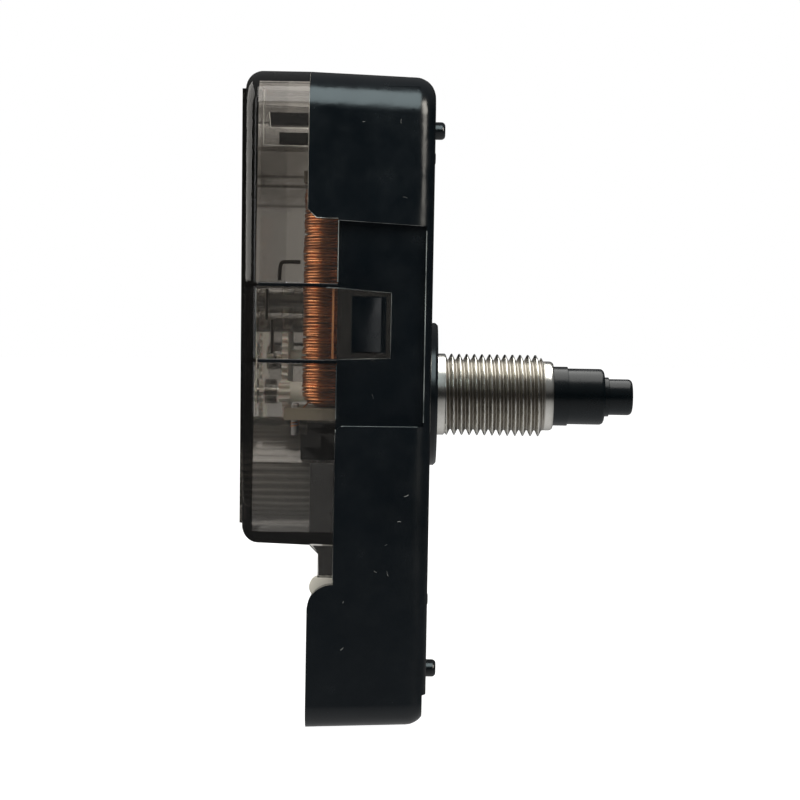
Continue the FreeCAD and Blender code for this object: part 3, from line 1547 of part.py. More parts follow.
# Electronics and battery contacts


def circuit_board():
    body = new_body("circuit_board")
    plan = front_sketch(body, "Plan", REST_DEPTH)
    add_rectangle(plan, "-board_left", "board_right", "-board_low", "-board_high")
    add_pad(body, "Board", plan, "sheet_thick", backwards=True)
    holes = front_sketch(body, "HolePlan", REST_DEPTH)
    for place in BOARD_PINS:
        add_circle(holes, *place, "stake_radius + hole_gap")
    add_circle(holes, *KNOB_AT, "knob_shaft_radius + 2 * hole_gap")
    add_pocket(body, "Holes", holes, "sheet_thick")
    return body


def chip_cap():
    body = new_body("chip_cap")
    plan = front_sketch(body, "Plan", SHEET_BACK)
    add_circle(plan, "chip_place", "-(board_low + board_high) / 2", "chip_radius")
    add_pad(body, "Blob", plan, "chip_height", backwards=True)
    top = size.plate_front + size.plate_thick + size.rest_height + size.sheet_thick + size.chip_height
    add_fillet(body, "Round", "chip_height - running_gap", lambda edge, middle: abs(middle.y - top) < size.seat_gap)
    return body


def crystal():
    """The crystal's can lies on the board with its two leads at one end."""
    can = new_body("crystal_can")
    depth = f"({SHEET_BACK} + can_radius)"
    up = "-(board_low + board_high) / 2"
    plan = new_sketch(can, "Plan", "YZ_Plane", "can_place")
    add_circle(plan, depth, up, "can_radius")
    add_pad(can, "Can", plan, "can_length")
    leads = new_body("crystal_leads")
    plan = new_sketch(leads, "Plan", "YZ_Plane", "can_place")
    for sign in ("-", "+"):
        add_circle(plan, depth, f"{up} {sign} can_radius / 2", "lead_radius")
    pad = add_pad(leads, "Leads", plan, "lead_length", backwards=True)
    pad.AllowMultiFace = True
    return can, leads


def battery_contact(side):
    """A plate at one end of the battery bay, with a tail up to the circuit board."""
    left = side == "left"
    sign = "-" if left else ""
    body = new_body("battery_contact_" + side)
    outer = "(bay_length / 2 - seat_gap)"
    plate = side_sketch(body, "PlateLine", f"{sign}{outer}")
    corner = "(block_depth - block_radius)"
    add_outline(
        plate,
        [
            ("contact_front", "-contact_low"),
            (f"{corner} + block_radius", "-contact_low"),
            (f"{corner} + block_radius", "-block_top - block_radius"),
            (f"{corner} + 0.85 * block_radius", "-block_top - block_radius / 2"),
            ("lobe_depth", "-contact_high - 2 * lobe_radius"),
            ("lobe_depth", "-contact_high"),
            ("contact_front", "-contact_high"),
        ],
    )
    inward = not left
    add_pad(body, "Plate", plate, "contact_thick", backwards=inward)
    lobe = side_sketch(body, "LobeLine", f"{sign}{outer}")
    add_circle(lobe, "lobe_depth", "-(contact_high + lobe_radius)", "lobe_radius")
    add_pad(body, "Lobe", lobe, "contact_thick", backwards=inward)
    tail = side_sketch(body, "TailLine", f"{sign}{outer}")
    add_rectangle(
        tail,
        f"{SHEET_BACK} + seat_gap + contact_thick - tail_width",
        f"{SHEET_BACK} + seat_gap + contact_thick",
        "-contact_high - tail_width",
        "-board_low + 2 * tail_width",
    )
    add_pad(body, "Tail", tail, "contact_thick", backwards=inward)
    foot = front_sketch(body, "FootPlan", f"{SHEET_BACK} + seat_gap")
    inner = "board_left - tail_width" if left else "board_right - 2 * tail_width"
    add_rectangle(
        foot,
        f"{sign}{outer}",
        f"{sign}({inner})",
        "-board_low + tail_width",
        "-board_low + 2 * tail_width",
    )
    add_pad(body, "Foot", foot, "contact_thick", backwards=True)
    middle = f"{BAY_LOW} + bay_height / 2"
    centre = "bay_floor + bay_height / 2"
    if left:
        nub = side_sketch(body, "NubLine", f"-{outer} + contact_thick / 2")
        add_circle(nub, centre, middle, "nub_radius")
        add_pad(body, "Nub", nub, "nub_height")
    else:
        leaf = front_sketch(body, "LeafPlan", f"{centre} - leaf_width / 2")
        low, high = "-contact_low", "-(contact_high + contact_thick)"
        inside = f"({outer} - contact_thick / 2)"
        add_outline(
            leaf,
            [
                (inside, low),
                (f"{inside} - 0.8 * leaf_bulge", f"{middle} - leaf_width / 2"),
                (f"{inside} - leaf_bulge", middle),
                (f"{inside} - 0.8 * leaf_bulge", f"{middle} + leaf_width / 2"),
                (f"{inside} - contact_thick", high),
                (f"{inside} - 2 * contact_thick", high),
                (f"{inside} - 0.8 * leaf_bulge - contact_thick", f"{middle} + leaf_width / 2"),
                (f"{inside} - leaf_bulge - contact_thick", middle),
                (f"{inside} - 0.8 * leaf_bulge - contact_thick", f"{middle} - leaf_width / 2"),
                (f"{inside} - contact_thick", low),
            ],
        )
        add_pad(body, "Leaf", leaf, "leaf_width", backwards=True)
    return body


def check_and_write():
    doc.recompute()
    for item in doc.Objects:
        if "Invalid" in item.State or "Error" in item.State:
            raise RuntimeError(f"{item.Label} is {item.State}")
    for part in subparts:
        shape = part.Shape
        if shape.isNull() or not shape.isValid() or not shape.Solids:
            raise RuntimeError(f"{part.Label} has no valid solid")
    os.makedirs("parts", exist_ok=True)
    for part in subparts:
        part.Shape.exportStep(os.path.join("parts", part.Label + ".step"))
        print(f"{part.Label}: {len(part.Shape.Solids)} solid, {part.Shape.Volume:.2f} cubic mm")


front_case()
back_cover()
threaded_bush()
middle_plate()
stator("stator_lower", "lower")
stator("stator_upper", "upper")
coil_core()
coil_bobbin()
coil_terminals()
coil_winding_core()
coil_winding()
hour_wheel()
minute_tube()
centre_wheel()
clutch_spring()
minute_wheel()
setting_knob()
fifth_wheel()
third_wheel()
second_wheel()
second_arbor()
rotor()
circuit_board()
chip_cap()
crystal()
battery_contact("left")
battery_contact("right")
check_and_write()
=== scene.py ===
import json
import math
import random

import bmesh
import bpy
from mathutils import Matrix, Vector

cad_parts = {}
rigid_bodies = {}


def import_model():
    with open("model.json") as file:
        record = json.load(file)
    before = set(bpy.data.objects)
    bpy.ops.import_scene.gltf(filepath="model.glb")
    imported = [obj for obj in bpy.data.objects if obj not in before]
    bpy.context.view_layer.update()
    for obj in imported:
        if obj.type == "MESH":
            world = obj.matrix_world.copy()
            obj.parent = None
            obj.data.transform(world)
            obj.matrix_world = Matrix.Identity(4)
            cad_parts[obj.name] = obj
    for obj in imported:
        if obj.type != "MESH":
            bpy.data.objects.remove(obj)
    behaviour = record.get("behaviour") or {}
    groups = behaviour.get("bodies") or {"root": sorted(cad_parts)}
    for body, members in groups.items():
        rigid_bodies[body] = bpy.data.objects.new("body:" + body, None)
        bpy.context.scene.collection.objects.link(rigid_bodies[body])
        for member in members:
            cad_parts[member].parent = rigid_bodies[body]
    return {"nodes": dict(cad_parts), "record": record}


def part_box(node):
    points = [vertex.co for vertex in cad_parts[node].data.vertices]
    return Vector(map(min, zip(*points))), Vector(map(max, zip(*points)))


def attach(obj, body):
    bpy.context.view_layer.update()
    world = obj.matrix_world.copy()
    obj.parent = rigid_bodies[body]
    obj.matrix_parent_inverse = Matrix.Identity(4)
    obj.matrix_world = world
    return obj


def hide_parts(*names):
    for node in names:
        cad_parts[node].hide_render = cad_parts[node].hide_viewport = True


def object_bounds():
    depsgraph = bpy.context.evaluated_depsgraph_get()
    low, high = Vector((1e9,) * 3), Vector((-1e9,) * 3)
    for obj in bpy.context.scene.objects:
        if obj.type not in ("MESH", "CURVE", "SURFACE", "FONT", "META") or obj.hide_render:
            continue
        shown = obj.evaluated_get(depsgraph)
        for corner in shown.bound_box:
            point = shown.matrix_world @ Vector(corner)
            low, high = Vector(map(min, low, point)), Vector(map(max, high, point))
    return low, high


# Quartz clock movement seen from its left side, hand shaft to the right. The scene is in metres, with +Z up
# and the shaft along -Y. Sizes of pieces are written in millimetres. A "depth" is measured back along +Y
# from the front face, and a "reach" out along -Y.

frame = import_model()
cad_low, cad_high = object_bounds()
scene = bpy.context.scene
MM = 0.001


# Material helpers. A texture's scale is given per metre, and the first four numbers are the places of
# the mix node's sockets for colours.

MIX_SHARE = 0
MIX_FIRST = 6
MIX_SECOND = 7
MIX_RESULT = 2


class Nodes:
    """Short ways to add nodes to a tree. A value is the socket of another node, a number or a colour."""

    def __init__(self, tree):
        self.tree = tree

    def plug(self, socket, value):
        if isinstance(value, bpy.types.NodeSocket):
            self.tree.links.new(value, socket)
        else:
            socket.default_value = value

    def feed(self, node, inputs):
        for name, value in inputs.items():
            self.plug(node.inputs[name.replace("_", " ")], value)

    def node(self, kind, **inputs):
        made = self.tree.nodes.new(kind)
        self.feed(made, inputs)
        return made

    def range(self, value, low, high, to_low=0.0, to_high=1.0):
        """The value moved from one pair of limits to another, and held within them."""
        made = self.tree.nodes.new("ShaderNodeMapRange")
        for socket, number in zip(made.inputs, (value, low, high, to_low, to_high)):
            self.plug(socket, number)
        return made.outputs["Result"]

    def maths(self, operation, first, second=0.0):
        made = self.tree.nodes.new("ShaderNodeMath")
        made.operation = operation
        self.plug(made.inputs[0], first)
        self.plug(made.inputs[1], second)
        return made.outputs[0]

    def blend(self, share, first, second):
        """The first colour where the share is zero, and the second where it is one."""
        made = self.tree.nodes.new("ShaderNodeMix")
        made.data_type = "RGBA"
        for index, value in ((MIX_SHARE, share), (MIX_FIRST, first), (MIX_SECOND, second)):
            self.plug(made.inputs[index], value)
        return made.outputs[MIX_RESULT]


class Paint(Nodes):
    """A material and short ways to give it textures."""

    def __init__(self, name):
        self.material = bpy.data.materials.new(name)
        self.material.use_nodes = True
        super().__init__(self.material.node_tree)
        self.shader = self.tree.nodes["Principled BSDF"]
        self.place = self.node("ShaderNodeTexCoord").outputs["Object"]

    def set(self, **inputs):
        self.feed(self.shader, inputs)

    def along(self, axis):
        return self.node("ShaderNodeSeparateXYZ", Vector=self.place).outputs[axis]

    def stretched(self, x, y, z):
        """The place on the object with each axis scaled: a texture gets long along the smallest."""
        return self.node("ShaderNodeMapping", Vector=self.place, Scale=(x, y, z)).outputs["Vector"]

    def noise(self, scale, detail=3.0, rough=0.6, place=None):
        made = self.node(
            "ShaderNodeTexNoise", Vector=place or self.place, Scale=scale, Detail=detail, Roughness=rough
        )
        return made.outputs["Fac"]

    def bump(self, height, distance, strength=1.0, under=None):
        """The normal of a surface raised by the height, whose full distance is in millimetres."""
        made = self.node("ShaderNodeBump", Height=height, Distance=distance * MM, Strength=strength)
        if under is not None:
            self.plug(made.inputs["Normal"], under)
        return made.outputs["Normal"]

    def rounded(self, radius):
        """The normal of edges rounded by a radius in millimetres."""
        made = self.node("ShaderNodeBevel", Radius=radius * MM)
        made.samples = 4
        return made.outputs["Normal"]


def shade(red, green, blue):
    return (red, green, blue, 1.0)


def plastic(name, colour, second, rough, grain=2200.0, edge=0.12, **sockets):
    """Moulded plastic: slight colour change, uneven gloss, very fine texture and rounded edges."""
    paint = Paint(name)
    cloud = paint.noise(140.0, detail=4.0)
    gloss = paint.noise(420.0, detail=5.0, rough=0.65)
    paint.set(
        Base_Color=paint.blend(paint.range(cloud, 0.3, 0.7), colour, second),
        Roughness=paint.range(gloss, 0.3, 0.7, rough - 0.05, rough + 0.06),
        Normal=paint.bump(paint.noise(grain), 0.010, 0.5, paint.rounded(edge) if edge else None),
        **sockets,
    )
    return paint.material


def metal(name, colour, second, rough, lines=(600.0, 60.0, 600.0), edge=0.08, share=1.0, **sockets):
    """Metal with fine marks that run along one way, slightly uneven in colour."""
    paint = Paint(name)
    cloud = paint.noise(260.0, detail=5.0)
    marks = paint.noise(12.0, place=paint.stretched(*lines))
    paint.set(
        Base_Color=paint.blend(paint.range(cloud, 0.35, 0.65), colour, second),
        Metallic=share,
        Roughness=paint.range(marks, 0.3, 0.7, rough - 0.05, rough + 0.07),
        Normal=paint.bump(marks, 0.006, 0.3, paint.rounded(edge)),
        **sockets,
    )
    return paint.material


# Materials

SHADED_ROOT_RADIUS = 3.50
UNSHADED_CREST_RADIUS = 3.93
ROOT_SHADE_FROM = 1.7
ROOT_SHADE_TO = 11.5
ROOT_SHADE_FADE = 0.1


def turned_nickel():
    """Nickel plate on a turned thread: bright on the crests, and rougher with painted shade in the roots.
    """
    paint = Paint("TurnedNickel")
    across = paint.maths("POWER", paint.along("X"), 2.0)
    up = paint.maths("POWER", paint.along("Z"), 2.0)
    radius = paint.maths("SQRT", paint.maths("ADD", across, up))
    cloud = paint.noise(900.0, detail=4.0)
    uneven = paint.maths("MULTIPLY", paint.range(cloud, 0.3, 0.7, -0.12, 0.12), MM)
    # Painted shade: on the threaded stretch the colour darkens from the crests towards the roots.
    height = paint.range(paint.maths("ADD", radius, uneven), SHADED_ROOT_RADIUS * MM, UNSHADED_CREST_RADIUS * MM)
    inside = paint.range(paint.along("Y"), -ROOT_SHADE_FROM * MM, (ROOT_SHADE_FADE - ROOT_SHADE_FROM) * MM)
    outside = paint.range(paint.along("Y"), -(ROOT_SHADE_TO + ROOT_SHADE_FADE) * MM, -ROOT_SHADE_TO * MM, 1.0, 0.0)
    crest = paint.maths("MAXIMUM", paint.maths("MAXIMUM", height, inside), outside)
    tone = paint.blend(paint.range(cloud, 0.35, 0.65), shade(0.86, 0.84, 0.79), shade(0.78, 0.76, 0.70))
    marks = paint.noise(10.0, place=paint.stretched(150.0, 900.0, 150.0))
    paint.set(
        Base_Color=paint.blend(crest, shade(0.43, 0.405, 0.36), tone),
        Metallic=1.0,
        Roughness=paint.range(crest, 0.0, 1.0, 0.36, 0.20),
        Normal=paint.bump(marks, 0.006, 0.35),
    )
    return paint.material


def seam_edge(name, dark, bright):
    """The rounded edge of a moulding as a thin line, with painted highlights in patches where it is also
    glossier, and rougher between them.
    """
    paint = Paint(name)
    patches = paint.noise(210.0, detail=4.0, rough=0.65)
    paint.set(
        Base_Color=paint.blend(paint.range(patches, 0.42, 0.62), dark, bright),
        Roughness=paint.range(patches, 0.3, 0.7, 0.40, 0.26),
        Normal=paint.bump(paint.noise(1500.0), 0.01, 0.4),
    )
    return paint.material


UPPER_SHADE_FROM = -4.0
UPPER_SHADE_FULL = 0.0
DARK_BAND_START = (18.4, 20.2)
DARK_BAND_END = (21.2, 23.4)
DARK_BAND_UNEVEN = 1.6
DARK_BAND_WALL = (26.0, 26.2)


def smoked_plastic():
    """Clear smoked plastic: it darkens what lies behind it with its thickness.

    The upper part is darker, which is painted shade, and its side walls are darker in one band with a
    ragged edge.
    """
    paint = Paint("CoverSmoke")
    height = paint.along("Z")
    cloud = paint.noise(240.0, detail=4.0)
    uneven = paint.maths("MULTIPLY", paint.range(cloud, 0.3, 0.7, -DARK_BAND_UNEVEN, DARK_BAND_UNEVEN), MM)
    streaky = paint.maths("ADD", height, uneven)
    start = paint.range(streaky, DARK_BAND_START[0] * MM, DARK_BAND_START[1] * MM)
    end = paint.range(streaky, DARK_BAND_END[0] * MM, DARK_BAND_END[1] * MM, 1.0, 0.0)
    sideways = paint.maths("ABSOLUTE", paint.along("X"))
    on_wall = paint.range(sideways, DARK_BAND_WALL[0] * MM, DARK_BAND_WALL[1] * MM)
    dark_band = paint.maths("MULTIPLY", paint.maths("MULTIPLY", start, end), on_wall)
    # Painted shade: the cover lets less through towards the top.
    above = paint.range(height, UPPER_SHADE_FROM * MM, UPPER_SHADE_FULL * MM)
    upper_shade = paint.blend(above, shade(1.0, 1.0, 1.0), shade(0.83, 0.81, 0.78))
    paint.set(
        Base_Color=paint.blend(dark_band, upper_shade, shade(0.49, 0.47, 0.44)),
        Transmission_Weight=0.995,
        IOR=1.49,
        Roughness=paint.range(paint.noise(500.0, detail=4.0), 0.35, 0.75, 0.01, 0.06),
        Normal=paint.bump(paint.noise(60.0, detail=2.0, rough=0.5), 0.02, 0.15),
    )
    volume = paint.node("ShaderNodeVolumeAbsorption", Color=shade(0.27, 0.25, 0.22), Density=1000.0)
    paint.plug(paint.tree.nodes["Material Output"].inputs["Volume"], volume.outputs["Volume"])
    return paint.material


SHADED_TO = 8.9
LIT_FROM = 10.3


def enamelled_copper():
    """Copper wire with clear enamel: each turn a little different in tone, and painted shade towards the
    front, under the case wall.
    """
    paint = Paint("CopperWire")
    bands = paint.noise(14.0, detail=4.0, rough=0.75, place=paint.stretched(14.0, 14.0, 150.0))
    turns = paint.range(bands, 0.38, 0.62)
    lit = paint.blend(turns, shade(0.30, 0.100, 0.034), shade(0.95, 0.41, 0.17))
    shaded = paint.blend(turns, shade(0.110, 0.030, 0.012), shade(0.40, 0.125, 0.050))
    # Painted shade: lit and shaded copies of the wire's colour, shaded towards the front.
    depth = paint.range(paint.along("Y"), SHADED_TO * MM, LIT_FROM * MM)
    paint.set(
        Base_Color=paint.blend(depth, shaded, lit),
        Metallic=1.0,
        Roughness=paint.range(bands, 0.3, 0.7, 0.36, 0.24),
        Coat_Weight=0.3,
        Coat_Roughness=0.16,
        Normal=paint.bump(paint.noise(1800.0), 0.02, 0.5),
    )
    return paint.material


def lacquered_board():
    """Green lacquer over copper traces, which lift it slightly."""
    paint = Paint("BoardLacquer")
    brick = paint.node(
        "ShaderNodeTexBrick", Vector=paint.place, Scale=260.0, Mortar_Size=0.09, Mortar_Smooth=0.1
    )
    tracks = brick.outputs["Fac"]
    paint.set(
        Base_Color=paint.blend(tracks, shade(0.020, 0.085, 0.035), shade(0.045, 0.170, 0.060)),
        Roughness=paint.range(paint.noise(700.0, detail=4.0), 0.3, 0.7, 0.22, 0.36),
        Coat_Weight=0.5,
        Coat_Roughness=0.15,
        Normal=paint.bump(tracks, 0.03, 0.6),
    )
    return paint.material


MATERIALS = {
    "case_black": plastic(
        "CaseBlack", shade(0.0008, 0.0017, 0.0026), shade(0.0015, 0.0026, 0.0037), rough=0.22, edge=0.0
    ),
    "tube_black": plastic(
        "TubeBlack",
        shade(0.0010, 0.0030, 0.0042),
        shade(0.0016, 0.0042, 0.0056),
        rough=0.24,
        Specular_IOR_Level=0.36,
    ),
    "bobbin_plastic": plastic(
        "BobbinPlastic", shade(0.150, 0.135, 0.105), shade(0.185, 0.165, 0.130), rough=0.42
    ),
    "plate_plastic": plastic(
        "PlatePlastic", shade(0.030, 0.032, 0.036), shade(0.040, 0.042, 0.046), rough=0.45
    ),
    "gear_white": plastic(
        "GearWhite",
        shade(0.64, 0.62, 0.57),
        shade(0.70, 0.68, 0.63),
        rough=0.38,
        Subsurface_Weight=0.12,
        Subsurface_Scale=0.8 * MM,
    ),
    "chip_black": plastic(
        "ChipResin", shade(0.012, 0.012, 0.013), shade(0.020, 0.020, 0.021), rough=0.28, grain=900.0
    ),
    "cover_smoke": smoked_plastic(),
    "board": lacquered_board(),
    "copper_wire": enamelled_copper(),
    "nickel": metal("Nickel", shade(0.74, 0.71, 0.65), shade(0.68, 0.65, 0.60), rough=0.24),
    "steel": metal("Steel", shade(0.60, 0.59, 0.57), shade(0.52, 0.52, 0.51), rough=0.30),
    "soft_iron": metal(
        "SoftIron",
        shade(0.40, 0.40, 0.41),
        shade(0.33, 0.33, 0.34),
        rough=0.40,
        lines=(60.0, 600.0, 600.0),
    ),
    "contact_metal": metal(
        "ContactMetal",
        shade(0.66, 0.65, 0.58),
        shade(0.60, 0.58, 0.52),
        rough=0.42,
        lines=(600.0, 600.0, 60.0),
        share=0.6,
    ),
    "solder_tin": metal("SolderTin", shade(0.70, 0.70, 0.68), shade(0.60, 0.60, 0.59), rough=0.33),
    "magnet": metal(
        "Magnet",
        shade(0.12, 0.12, 0.13),
        shade(0.09, 0.09, 0.10),
        rough=0.48,
        lines=(900.0, 900.0, 900.0),
    ),
}
THREAD = turned_nickel()
# Dark edge lines with painted highlights in patches; the same colours make the dust fibres.
SEAM_GLINT_AND_DUST = seam_edge("SeamGlintAndDust", shade(0.010, 0.013, 0.015), shade(0.150, 0.158, 0.152))
# Lines with brighter painted highlights, for the edges of the clear cover.
CLEAR_EDGE_GLINT = seam_edge("ClearEdgeGlint", shade(0.240, 0.235, 0.215), shade(0.620, 0.610, 0.560))
BARE_COPPER = metal("BareCopper", shade(0.74, 0.34, 0.15), shade(0.58, 0.25, 0.11), rough=0.42, share=0.7)
MARK = plastic("MouldMark", shade(0.030, 0.028, 0.025), shade(0.055, 0.051, 0.045), rough=0.50)
KNOB = plastic("KnobGrey", shade(0.085, 0.078, 0.068), shade(0.105, 0.098, 0.085), rough=0.40)

SLOT_OF_NODE = {part["node"]: part["material_slot"] for part in frame["record"]["subparts"]}
for name, piece in frame["nodes"].items():
    for index in range(len(piece.data.materials)):
        piece.data.materials[index] = MATERIALS[SLOT_OF_NODE[name]]
frame["nodes"]["setting_knob"].data.materials[0] = KNOB
frame["nodes"]["coil_terminals"].data.materials[0] = MATERIALS["soft_iron"]


# Mesh helpers


def finish_mesh(name, mesh, slot, smooth=True, paint=None):
    """The mesh as a piece that rides on the case."""
    mesh.normal_update()
    data = bpy.data.meshes.new(name)
    mesh.to_mesh(data)
    mesh.free()
    data.materials.append(paint or MATERIALS[slot])
    for face in data.polygons:
        face.use_smooth = smooth
    piece = bpy.data.objects.new(name, data)
    scene.collection.objects.link(piece)
    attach(piece, "case")
    return piece


def ring_surface(mesh, rows, closed=True):
    """Faces between rings of vertices. With closed, the last ring joins the first."""
    pairs = list(zip(rows, rows[1:]))
    if closed:
        pairs.append((rows[-1], rows[0]))
    for lower, upper in pairs:
        count = len(lower)
        for step in range(count):
            after = (step + 1) % count
            mesh.faces.new((lower[step], lower[after], upper[after], upper[step]))


def tube_lines(name, lines, radius, slot, paint=None, round_corners=False):
    """Thin round lines through the given points, in millimetres, which ride on the case."""
    curve = bpy.data.curves.new(name, "CURVE")
    curve.dimensions = "3D"
    curve.bevel_depth = radius * MM
    curve.bevel_resolution = 2
    curve.use_fill_caps = True
    for points in lines:
        spline = curve.splines.new("NURBS" if round_corners else "POLY")
        spline.points.add(len(points) - 1)
        for place, point in zip(points, spline.points):
            point.co = (*(number * MM for number in place), 1.0)
        if round_corners:
            spline.order_u = 3
            spline.use_endpoint_u = True
    piece = bpy.data.objects.new(name, curve)
    scene.collection.objects.link(piece)
    curve.materials.append(paint or MATERIALS[slot])
    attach(piece, "case")
    return piece


def plate_outline(mesh, outline, low, high, bevel):
    """A plate with the given outline in Y and Z, from one X to another, with small bevels all round."""
    lower = [mesh.verts.new((low * MM, y * MM, z * MM)) for y, z in outline]
    upper = [mesh.verts.new((high * MM, y * MM, z * MM)) for y, z in outline]
    made = [mesh.faces.new(lower), mesh.faces.new(upper[::-1])]
    for step in range(len(outline)):
        after = (step + 1) % len(outline)
        made.append(mesh.faces.new((lower[after], lower[step], upper[step], upper[after])))
    edges = {edge for face in made for edge in face.edges}
    bmesh.ops.bevel(
        mesh,
        geom=list(edges),
        offset=bevel * MM,
        offset_type="OFFSET",
        segments=2,
        profile=0.5,
        affect="EDGES",
    )


def upright_plate(front, back, low, high):
    """The outline of a rectangle, as depths and heights."""
    return [(front, low), (back, low), (back, high), (front, high)]


def at_x(x, outline):
    """The points of an outline of depths and heights, at one X."""
    return [(x, depth, height) for depth, height in outline]


# Threaded bush: one closed mesh with a right-hand helical thread

BUSH_CREST = 4.0
BUSH_ROOT = 3.43
PITCH = 0.75
CREST_SHARE = 0.07
ROOT_SHARE = 0.43
FIRST_CREST = 2.225
THREAD_START = 1.72
THREAD_END = 11.40
THREAD_FADE = 0.22
THREAD_RUNOUT = 1.9
THREAD_STEP = 0.03
SHANK_START = 1.0
SHANK_GAP = 0.02
SEAT_RADIUS = 4.3
SEAT_BACK = -0.3
SEAT_BEVEL = 0.12
FLANGE_RADIUS = 5.2
FLANGE_BEVEL = 0.15
NECK_RADIUS = 3.4
NECK_REACH = 12.40
NECK_ROUNDING = ((0.0, 0.35), (0.04, 0.2), (0.12, 0.07), (0.22, 0.0))
BUSH_BORE = 2.97
BORE_BEVEL = 0.08
HAIR = 0.001
BUSH_SPLIT = 38
AROUND = 128


def thread_radius(reach, turn):
    """Radius of the thread's surface. The crest is at FIRST_CREST plus one pitch for each turn.

    It rises from the plain shank over THREAD_FADE, and runs down to the root at THREAD_END.
    """
    phase = ((reach - FIRST_CREST) / PITCH - turn) % 1.0
    away = min(phase, 1.0 - phase)
    rise = (away - CREST_SHARE) / (ROOT_SHARE - CREST_SHARE)
    rise = min(max(rise, 0.0), 1.0)
    depth = (BUSH_CREST - BUSH_ROOT) * rise
    fade_in = min(max((reach - THREAD_START) / THREAD_FADE, 0.0), 1.0)
    radius = BUSH_CREST - depth * fade_in
    lead_in = BUSH_ROOT + max(THREAD_END - reach, 0.0) * THREAD_RUNOUT
    return min(radius, lead_in)


def threaded_bush():
    mesh = bmesh.new()
    inner_end = -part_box("threaded_bush")[1].y / MM
    flange = [
        (BUSH_BORE, inner_end),
        (FLANGE_RADIUS - FLANGE_BEVEL, inner_end),
        (FLANGE_RADIUS, inner_end + FLANGE_BEVEL),
        (FLANGE_RADIUS, SEAT_BACK - SEAT_BEVEL),
        (FLANGE_RADIUS - SEAT_BEVEL, SEAT_BACK),
        (SEAT_RADIUS, SEAT_BACK + HAIR),
        (SEAT_RADIUS, SHANK_START - SEAT_BEVEL),
        (SEAT_RADIUS - SEAT_BEVEL, SHANK_START - HAIR),
        (BUSH_CREST, SHANK_START),
        (BUSH_CREST, THREAD_START - SHANK_GAP),
    ]
    neck = [(NECK_RADIUS, THREAD_END + THREAD_STEP)]
    neck += [(NECK_RADIUS - inset, NECK_REACH - back) for inset, back in NECK_ROUNDING]
    neck += [(BUSH_BORE + BORE_BEVEL, NECK_REACH), (BUSH_BORE, NECK_REACH - BORE_BEVEL)]
    rows = [[point] * AROUND for point in flange]
    steps = round((THREAD_END - THREAD_START) / THREAD_STEP)
    for step in range(steps + 1):
        reach = THREAD_START + (THREAD_END - THREAD_START) * step / steps
        rows.append([(thread_radius(reach, corner / AROUND), reach) for corner in range(AROUND)])
    rows += [[point] * AROUND for point in neck]
    rings = []
    for row in rows:
        ring = []
        for corner, (radius, reach) in enumerate(row):
            angle = math.tau * corner / AROUND
            place = (radius * MM * math.cos(angle), -reach * MM, radius * MM * math.sin(angle))
            ring.append(mesh.verts.new(place))
        rings.append(ring)
    ring_surface(mesh, rings)
    bmesh.ops.recalc_face_normals(mesh, faces=mesh.faces)
    piece = finish_mesh("bush_threaded", mesh, "nickel", paint=THREAD)
    sharp = piece.modifiers.new("Edges", "EDGE_SPLIT")
    sharp.split_angle = math.radians(BUSH_SPLIT)
    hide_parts("threaded_bush")


# Coil winding: fine wire in many turns over a core, not quite even

COIL_X = -22.6
COIL_Y = 8.2
COIL_LOW = -0.15
COIL_HIGH = 19.35
LOW_TAPER = 0.85
LOW_TAPER_HEIGHT = 1.4
HIGH_TAPER = 0.45
HIGH_TAPER_HEIGHT = 0.9
CORE_RADIUS = 2.84
CORE_RINGS = 420
CORE_AROUND = 48
CORE_WAVE = 0.05
CORE_WAVE_PITCH = 0.21
WIRE = 0.135
WIRE_PATH_RADIUS = 3.00
WIRE_END_ROOM = 0.25
LAYER_TURNS = 72
GROUP_TURNS = 5
TURN_POINTS = 26
TURN_SHIFT = 0.10
TURN_LEAN = 0.09
TURN_SWELLS = (0.0, 0.02, 0.05, 0.08)
GROUP_SWELL = 0.12
SPARE_GROUPS = 3
WINDING_SEED = 7


def coil_taper(height):
    """How much thinner the winding is near its ends, where the outer turns step down."""
    lower = max(0.0, 1.0 - (height - COIL_LOW) / LOW_TAPER_HEIGHT) ** 2
    upper = max(0.0, 1.0 - (COIL_HIGH - height) / HIGH_TAPER_HEIGHT) ** 2
    return LOW_TAPER * lower + HIGH_TAPER * upper


def coil_point(radius, angle, height):
    return (COIL_X + radius * math.cos(angle), COIL_Y + radius * math.sin(angle), height)


def winding_under():
    """The turns below the outer layer, as one body with shallow grooves."""
    mesh = bmesh.new()
    rows = []
    for step in range(CORE_RINGS + 1):
        height = COIL_LOW + (COIL_HIGH - COIL_LOW) * step / CORE_RINGS
        ring = []
        for corner in range(CORE_AROUND):
            angle = math.tau * corner / CORE_AROUND
            wave = CORE_WAVE * abs(math.sin(math.pi * (height / CORE_WAVE_PITCH + angle / math.tau)))
            place = coil_point(CORE_RADIUS + wave - coil_taper(height), angle, height)
            ring.append(mesh.verts.new([number * MM for number in place]))
        rows.append(ring)
    ring_surface(mesh, rows, closed=False)
    mesh.faces.new(rows[0][::-1])
    mesh.faces.new(rows[-1])
    bmesh.ops.recalc_face_normals(mesh, faces=mesh.faces)
    core = finish_mesh("winding_under", mesh, "copper_wire")
    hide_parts("coil_winding_core")


